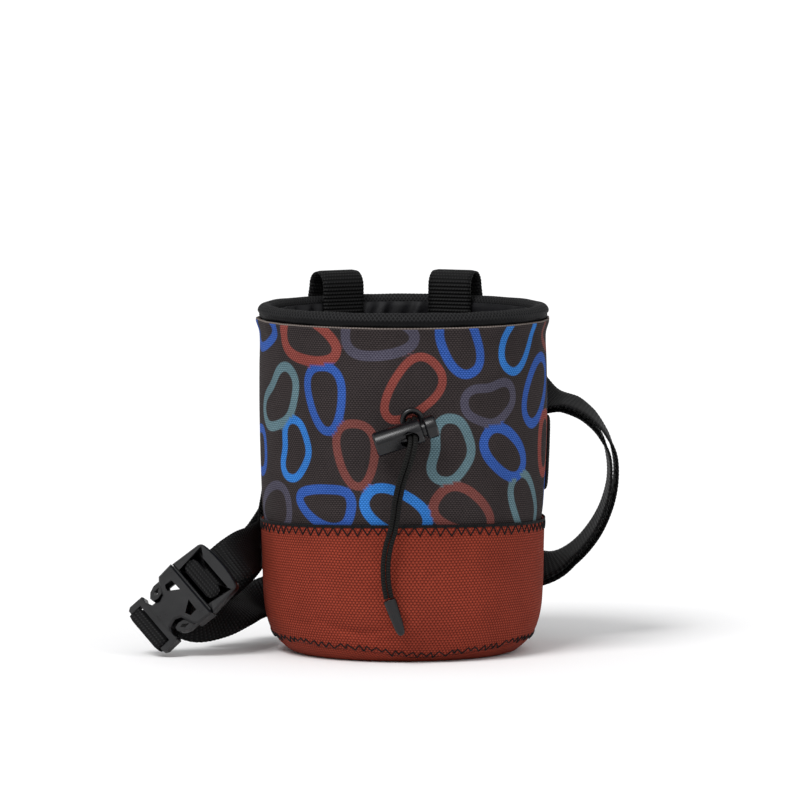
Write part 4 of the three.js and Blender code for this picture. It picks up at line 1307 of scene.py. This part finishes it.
    def ladder_lock(self) -> list[Row]:
        """In behind the crossbar, over the locking bar, and out again as a short tail."""
        tape = self.tape.thickness / MM
        frame = self.buckle
        bar = (frame.lock_near + frame.lock_far) / 2
        reach = (frame.lock_far - frame.lock_near) / 2 + self.gap + tape / 2
        behind = -(frame.frame_half + self.gap + tape / 2)
        top = frame.lock_half + self.gap + tape / 2
        tail = behind - tape - self.gap * 1.6
        return self.on_buckle(
            (frame.cross_far + 2, behind - 0.2, 0, 1),
            (frame.cross_near + 1, behind - 0.1, 0, 1),
            (frame.cross_near - 0.6, behind + 0.1, -0.4, 1),
            (bar + reach + 0.7, -2.1, -0.9, 0.5),
            (bar + reach + 0.3, 0, -1, 0),
            (bar + reach - 0.1, top - 0.3, -0.8, -0.6),
            (bar + reach - 1.4, top + 0.2, -0.2, -1),
            (bar - reach + 1.4, top + 0.1, 0.2, -1),
            (bar - reach + 0.2, top - 0.4, 0.8, -0.6),
            (bar - reach - 0.05, 0.6, 1, -0.1),
            (bar - reach, -0.8, 1, 0.1),
            (bar - reach + 0.3, -2.1, 0.9, 0.5),
            (bar - reach + 1.8, -3, 0.5, 1),
            (bar + 0.8, -3.9, 0.3, 1),
            (bar + reach + 0.3, tail + 0.4, 0.2, 1),
            (frame.cross_near + 0.6, tail, 0, 1),
        )

    def left_fold(self) -> list[Row]:
        """Half a turn of a helix about a leaning axis, where the first winding turns back."""
        lean = math.radians(self.fold_lean)
        radius = self.fold_radius * MM
        outward = outward_at(self.fold_compass)
        forward = np.cross(UP, outward)
        axis = -math.sin(lean) * forward - math.cos(lean) * UP
        aside = math.cos(lean) * forward - math.sin(lean) * UP
        start = np.array(self.fold_place) * [self.form.radius, self.form.radius, self.form.height]
        knots = []
        for degrees in range(0, 181, 30):
            turn = math.radians(degrees)
            arc = aside * math.sin(turn) + outward * (1 - math.cos(turn)) + axis * self.fold_advance * turn
            at = start + radius * arc
            knots.append((at, aside * math.sin(turn) - outward * math.cos(turn)))
        return knots

    def rows(self) -> list[Row]:
        """The whole track."""
        form = self.form
        half = self.tape.thickness / 2
        low = form.radius * 0.985 + self.gap * 2 * MM + half + self.pitch / 2 * MM
        high = form.radius + self.gap * 2 * MM + half + self.pitch / 2 * MM
        back_low = ((140, 0.132), (124, 0.163), (106, 0.192), (86, 0.207), (68, 0.205), (54, 0.203))
        back_top = ((53, 0.862), (64, 0.875), (77, 0.878), (90, 0.878), (103, 0.878), (116, 0.875))
        first_down = ((130, 0.868), (138, 0.77), (140, 0.65), (141, 0.53), (143, 0.41))
        second_down = ((130, 0.868), (139, 0.77), (143, 0.66), (146, 0.55), (149.5, 0.455), (156, 0.375),
                       (164, 0.308))
        return [
            *self.socket_wrap(),
            *self.free(self.lower_strand),
            *self.behind(low, back_low, 1, -0.5),
            *self.free(self.hoop, -0.6),
            *self.behind(high, back_top, -1, -0.5),
            *self.behind(high, first_down, -1, -0.5),
            *self.free(self.to_fold),
            *self.left_fold(),
            *self.free(self.from_fold),
            *self.behind(low, back_low, 1, 0.5),
            *self.free(self.hoop, 0.6),
            *self.behind(high, back_top, -1, 0.5),
            *self.behind(high, second_down, -1, 0.5),
            *self.free(self.upper_strand),
            *self.ladder_lock(),
        ]

    def build(self) -> None:
        """Makes the strip."""
        piece = build_piece("belt_strip", self.tape.surface(self.rows()))
        self.wardrobe.place(piece, Finish.WEBBING, "waist_belt")


def moulded_copy(node: str, name: str, edge_radius: float) -> bpy.types.Object:
    """A CAD node's shape with its doubles merged, flats joined and edges rounded.

    Args:
        node: the CAD node.
        name: the new piece's name.
        edge_radius: of the rounding.

    Returns:
        The new object.
    """
    source = bpy.data.objects[node]
    data = source.data.copy()
    data.name = name
    nearly_flat, sharp_angle = math.radians(2), math.radians(32)
    mesh = bmesh.new()
    mesh.from_mesh(data)
    bmesh.ops.remove_doubles(mesh, verts=mesh.verts, dist=1e-6)
    bmesh.ops.dissolve_limit(mesh, angle_limit=nearly_flat, verts=mesh.verts, edges=mesh.edges)
    sharp = [edge for edge in mesh.edges
             if len(edge.link_faces) == 2 and edge.calc_face_angle(0.0) > sharp_angle]
    made = bmesh.ops.bevel(mesh, geom=sharp, offset=edge_radius, offset_type="OFFSET", segments=3,
                           profile=0.5, affect="EDGES", clamp_overlap=True, miter_outer="SHARP")
    rounded = set(made["faces"])
    for face in mesh.faces:
        bent = any(nearly_flat < edge.calc_face_angle(0.0) < sharp_angle for edge in face.edges
                   if len(edge.link_faces) == 2 and not rounded.intersection(edge.link_faces))
        face.smooth = face in rounded or bent
    mesh.to_mesh(data)
    mesh.free()
    return add_object(name, data)


@dataclass
class Buckle:
    """The fastened side-release buckle."""

    wardrobe: Wardrobe

    def build(self) -> None:
        """Socket and prong part with rounded edges."""
        for node, name in (("buckle_socket", "socket_shell"), ("buckle_prongs", "prong_part")):
            self.wardrobe.place(moulded_copy(node, name, 0.35 * MM), Finish.PLASTIC, node)


# Drawcord


@dataclass
class Drawcord:
    """Two strands from the eyelet through the cord lock to the moulded end."""

    wardrobe: Wardrobe
    form: BagForm
    diameter: float = 2.0 * MM
    spacing: float = 2.08 * MM
    lock_tilt: float = 18.0
    tip: tuple[float, float, float] = (-4.1, -60.2, 12.3)
    tip_length: float = 15.7 * MM
    tip_radius: float = 2.6 * MM
    tip_flatness: float = 0.76
    eyelet_height: float = 100.2 * MM
    route: Table = (
        (-0.2, -58.3, 100.6),
        (-0.3, -60.9, 99.8),
        (-1.9, -63.1, 97.3),
        (-0.9, -66.4, 95.4),
        (-0.4, -69.9, 93.7),
        (-0.6, -72.4, 91.5),
        (-1.4, -73.6, 88),
        (-3, -72.9, 82.5),
        (-5.1, -70.3, 75.5),
        (-6.6, -66.8, 67.5),
        (-7.3, -64, 60.5),
        (-8.1, -62.8, 55.5),
        (-9.8, -62.1, 49.5),
        (-10.9, -61.8, 42),
        (-10.7, -61.4, 34),
        (-9.6, -61, 27.8),
    )

    def strand(self, side: int) -> Array:
        """Middle line of one strand, beside the route by half the spacing."""
        route = np.array(self.route) * MM
        path = knot_curve(route, np.linspace(0, len(route) - 1, 600))
        _, path = even_steps(path, 0.4 * MM)
        tilt = math.radians(self.lock_tilt)
        aside = square_to(np.array([math.cos(tilt), 0.0, math.sin(tilt)]), heading(path))
        return path + side * self.spacing / 2 * aside

    def build_cords(self) -> None:
        for name, side in (("left", -1), ("right", 1)):
            path = self.strand(side)
            piece = build_piece(f"cord_{name}", tube(path, self.diameter / 2, 16, np.array([0.0, -1.0, 0.3])))
            self.wardrobe.place(piece, Finish.CORD, f"drawcord_{name}")

    def cord_tip(self) -> bpy.types.Object:
        """The moulded end: a tapered, flattened round form."""
        start = np.array(self.route[-1]) * MM
        down = unit(np.array(self.tip) * MM - start)
        profile = np.array([(0, 0.05), (0, 0.8), (0.015, 0.95), (0.05, 1), (0.18, 1), (0.4, 0.93),
                            (0.6, 0.86), (0.8, 0.76), (0.9, 0.66), (0.96, 0.5), (0.99, 0.27), (1, 0.04)])
        rows = knot_curve(profile, np.linspace(0, len(profile) - 1, 60))
        turn = np.linspace(0, 2 * math.pi, 33)
        aside = unit(np.array([1.0, 0.0, 0.0]) - down * down[0])
        facing = np.cross(aside, down)
        seat = start + down * 0.6 * MM
        size = rows[:, 1:] * self.tip_radius
        points = (seat + rows[:, :1, None] * self.tip_length * down
                  + (size * np.cos(turn))[..., None] * aside
                  + (size * self.tip_flatness * np.sin(turn))[..., None] * facing)
        uv = layered(rows[:, :1] * self.tip_length, turn[None] * self.tip_radius)
        grid = Surface.capped(points[:, :-1], uv)
        piece = build_piece("cord_tip", grid)
        weld(piece, 1e-7)
        return self.wardrobe.place(piece, Finish.PLASTIC, "cord_end")

    def eyelet(self) -> None:
        """The ring that the cord leaves by: a rounded flange and a neck."""
        rows = np.array([(2.6, -1.2), (3.3, -1.2), (3.3, 0.3), (4.9, 0.3), (5.0, 0.6), (4.8, 1.1),
                         (4.2, 1.5), (3.5, 1.45), (2.9, 1.0), (2.6, 0.4)]) * MM
        closed = np.vstack([rows, rows[:1]])
        dense = knot_curve(closed, np.linspace(0, len(rows), 61))[:-1]
        turn = np.linspace(0, 2 * math.pi, 49)
        points = layered(dense[:, :1] * np.cos(turn), -self.form.radius - dense[:, 1:],
                         self.eyelet_height + dense[:, :1] * np.sin(turn))
        uv = np.zeros((len(dense) + 1, len(turn), 2))
        grid = Surface(points[:, :-1], uv, wrap_rows=True, wrap_columns=True)
        piece = build_piece("eyelet_ring", grid)
        weld(piece, 1e-7)
        self.wardrobe.place(piece, Finish.PLASTIC, "eyelet")

    def lock(self) -> None:
        """Barrel and plunger with rounded edges."""
        for name, edge_radius, body in (("barrel", 0.4 * MM, "root"), ("plunger", 0.3 * MM, "plunger")):
            piece = moulded_copy(f"cord_lock_{name}", f"lock_{name}", edge_radius)
            self.wardrobe.place(piece, Finish.PLASTIC, f"cord_lock_{name}", body=body)

    def build(self) -> None:
        """Makes the cords first, then what they pass."""
        tip = self.cord_tip()
        self.build_cords()
        self.eyelet()
        self.lock()


# Stitches


@dataclass
class Seams:
    """Zigzag stitches at the boot's upper and lower edges."""

    wardrobe: Wardrobe
    form: BagForm
    thread: float = 0.26 * MM
    pitch: float = 4.3 * MM
    reach: float = 58.3 * MM
    arch: float = 0.16 * MM
    ledge_arch: float = 0.02 * MM
    thread_and_shadow_lifts: tuple[float, ...] = (0.0, 0.35 * MM, 0.7 * MM)
    seed: int = 7

    def stitch(self, start: Array, end: Array, on_skin: Any, arch: float) -> Surface:
        """One stitch between two places given as compass angle and height, arched off the cloth."""
        share = np.linspace(0.0, 1.0, 7)
        degrees = start[0] + (end[0] - start[0]) * share
        height = start[1] + (end[1] - start[1]) * share
        lift = arch * np.sin(math.pi * share) - 0.1 * MM + self.thread * 0.5
        path = on_skin(degrees, height, lift)
        outward = path * np.array([1.0, 1.0, 0.0])
        return tube(path, self.thread, 6, unit(outward))

    def zigzag(self, name: str, line: Any, tall: float, on_skin: Any, unsteady: float, ledge: bool) -> None:
        """A run of V stitches hanging from a line round the bag, with black threads along the line: the
        overlock thread, stacked up as a painted shadow along the boot's edge.
        """
        random = np.random.default_rng(self.seed)
        count = int(round(2 * math.pi * self.reach / self.pitch))
        at = np.linspace(0.0, 360.0, count, endpoint=False)
        at = at + random.uniform(-unsteady, unsteady, count) * 360 / count
        parts = []
        for i in range(count):
            step = (at[(i + 1) % count] - at[i]) % 360
            top = np.array([at[i], float(line(at[i]))])
            after = np.array([at[i] + step, float(line(at[i] + step))])
            drop = tall * (1 + random.uniform(-0.5, 0.5) * unsteady * 2)
            middle = at[i] + step * (0.5 + random.uniform(-0.5, 0.5) * unsteady)
            low = np.array([middle, float(line(middle)) - drop])
            parts.append(self.stitch(top, low, on_skin, self.arch))
            parts.append(self.stitch(low, after, on_skin, self.arch))
            # The stacked threads along the line are partly the real overlock thread and partly painted shadow
            # along the boot's edge.
            if ledge:
                for lift in self.thread_and_shadow_lifts:
                    step_up = np.array([0.0, lift])
                    parts.append(self.stitch(top + step_up, after + step_up, on_skin, self.ledge_arch))
        self.wardrobe.place(build_piece(name, parts), Finish.THREAD)

    def build(self) -> None:
        """Makes both runs."""
        form = self.form
        self.zigzag("seam_zigzag", lambda a: form.seam - 0.1 * MM + 0 * a, 3.5 * MM, form.boot, 0.1, True)
        self.zigzag("lower_zigzag", lambda a: form.lower_seam(np.asarray(a)) + 1.4 * MM, 2.2 * MM,
                    form.boot, 0.3, False)


# Studio


@dataclass
class Studio:
    """White floor, soft lights and the camera of the photograph."""

    distance: float = 3.5
    azimuth: float = -3.5
    elevation: float = 4.8
    aim: tuple[float, float, float] = (-1.32, 0.08, 103.4)
    lens: float = 381.9
    floor_half: float = 9.0
    floor_drop: float = 0.05 * MM
    room_light: float = 0.62

    def camera(self) -> None:
        """Camera on a circle round the aim."""
        data = bpy.data.cameras.new("photo_camera")
        data.lens = self.lens
        data.sensor_width = 36.0
        data.clip_end = 100.0
        camera = add_object("photo_camera", data)
        a, e = math.radians(self.azimuth), math.radians(self.elevation)
        back = Vector((math.sin(a) * math.cos(e), -math.cos(a) * math.cos(e), math.sin(e)))
        camera.location = Vector(self.aim) * MM + back * self.distance
        camera.rotation_euler = (-back).to_track_quat("-Z", "Y").to_euler()
        bpy.context.scene.camera = camera

    def floor(self) -> None:
        """A wide pale floor."""
        size = self.floor_half
        grid = np.array([[(-size, -size, 0), (-size, size, 0)], [(size, -size, 0), (size, size, 0)]], float)
        grid[..., 2] = -self.floor_drop
        piece = build_piece("floor", Surface(grid, grid[..., :2]), smooth=False)
        graph = Graph("pale_floor")
        material = graph.dress((0.93, 0.93, 0.935), 0.75, Specular_IOR_Level=0.1)
        piece.data.materials.append(material)

    def sun(self, name: str, toward: Sequence[float], spread: float, power: float) -> None:
        """A wide soft light from a direction, even over the whole floor."""
        data = bpy.data.lights.new(name, "SUN")
        data.angle = math.radians(spread)
        data.energy = power
        lamp = add_object(name, data)
        lamp.location = Vector(toward)
        lamp.rotation_euler = (-lamp.location).to_track_quat("-Z", "Y").to_euler()

    def lights(self) -> None:
        """Key from the upper left, fill from the right, and a white room."""
        world = bpy.data.worlds.new("white_room")
        world.use_nodes = True
        world.node_tree.nodes["Background"].inputs[0].default_value = (1, 1, 1, 1)
        world.node_tree.nodes["Background"].inputs[1].default_value = self.room_light
        bpy.context.scene.world = world
        self.sun("key_light", (-0.75, -0.95, 1.5), 26.0, 2.1)
        self.sun("fill_light", (0.9, -1.2, 0.9), 60.0, 0.4)

    def build(self) -> None:
        """Sets the colour management, the floor and the lights."""
        view = bpy.context.scene.view_settings
        view.view_transform = "Standard"
        view.look = "None"
        self.floor()
        self.lights()


def main() -> None:
    """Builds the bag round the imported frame, part by part."""
    logging.basicConfig(level=logging.INFO, format="%(name)s: %(message)s")
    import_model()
    wardrobe = Wardrobe()
    form = BagForm()
    studio = Studio()
    studio.camera()
    Drawcord(wardrobe, form).build()
    ClothBody(wardrobe, form).build()
    Seams(wardrobe, form).build()
    BeltLoops(wardrobe, form).build()
    BrushLoop(wardrobe, form).build()
    WaistBelt(wardrobe, form, BuckleFrame()).build()
    Buckle(wardrobe).build()
    studio.build()


if __name__ == "__main__":
    main()
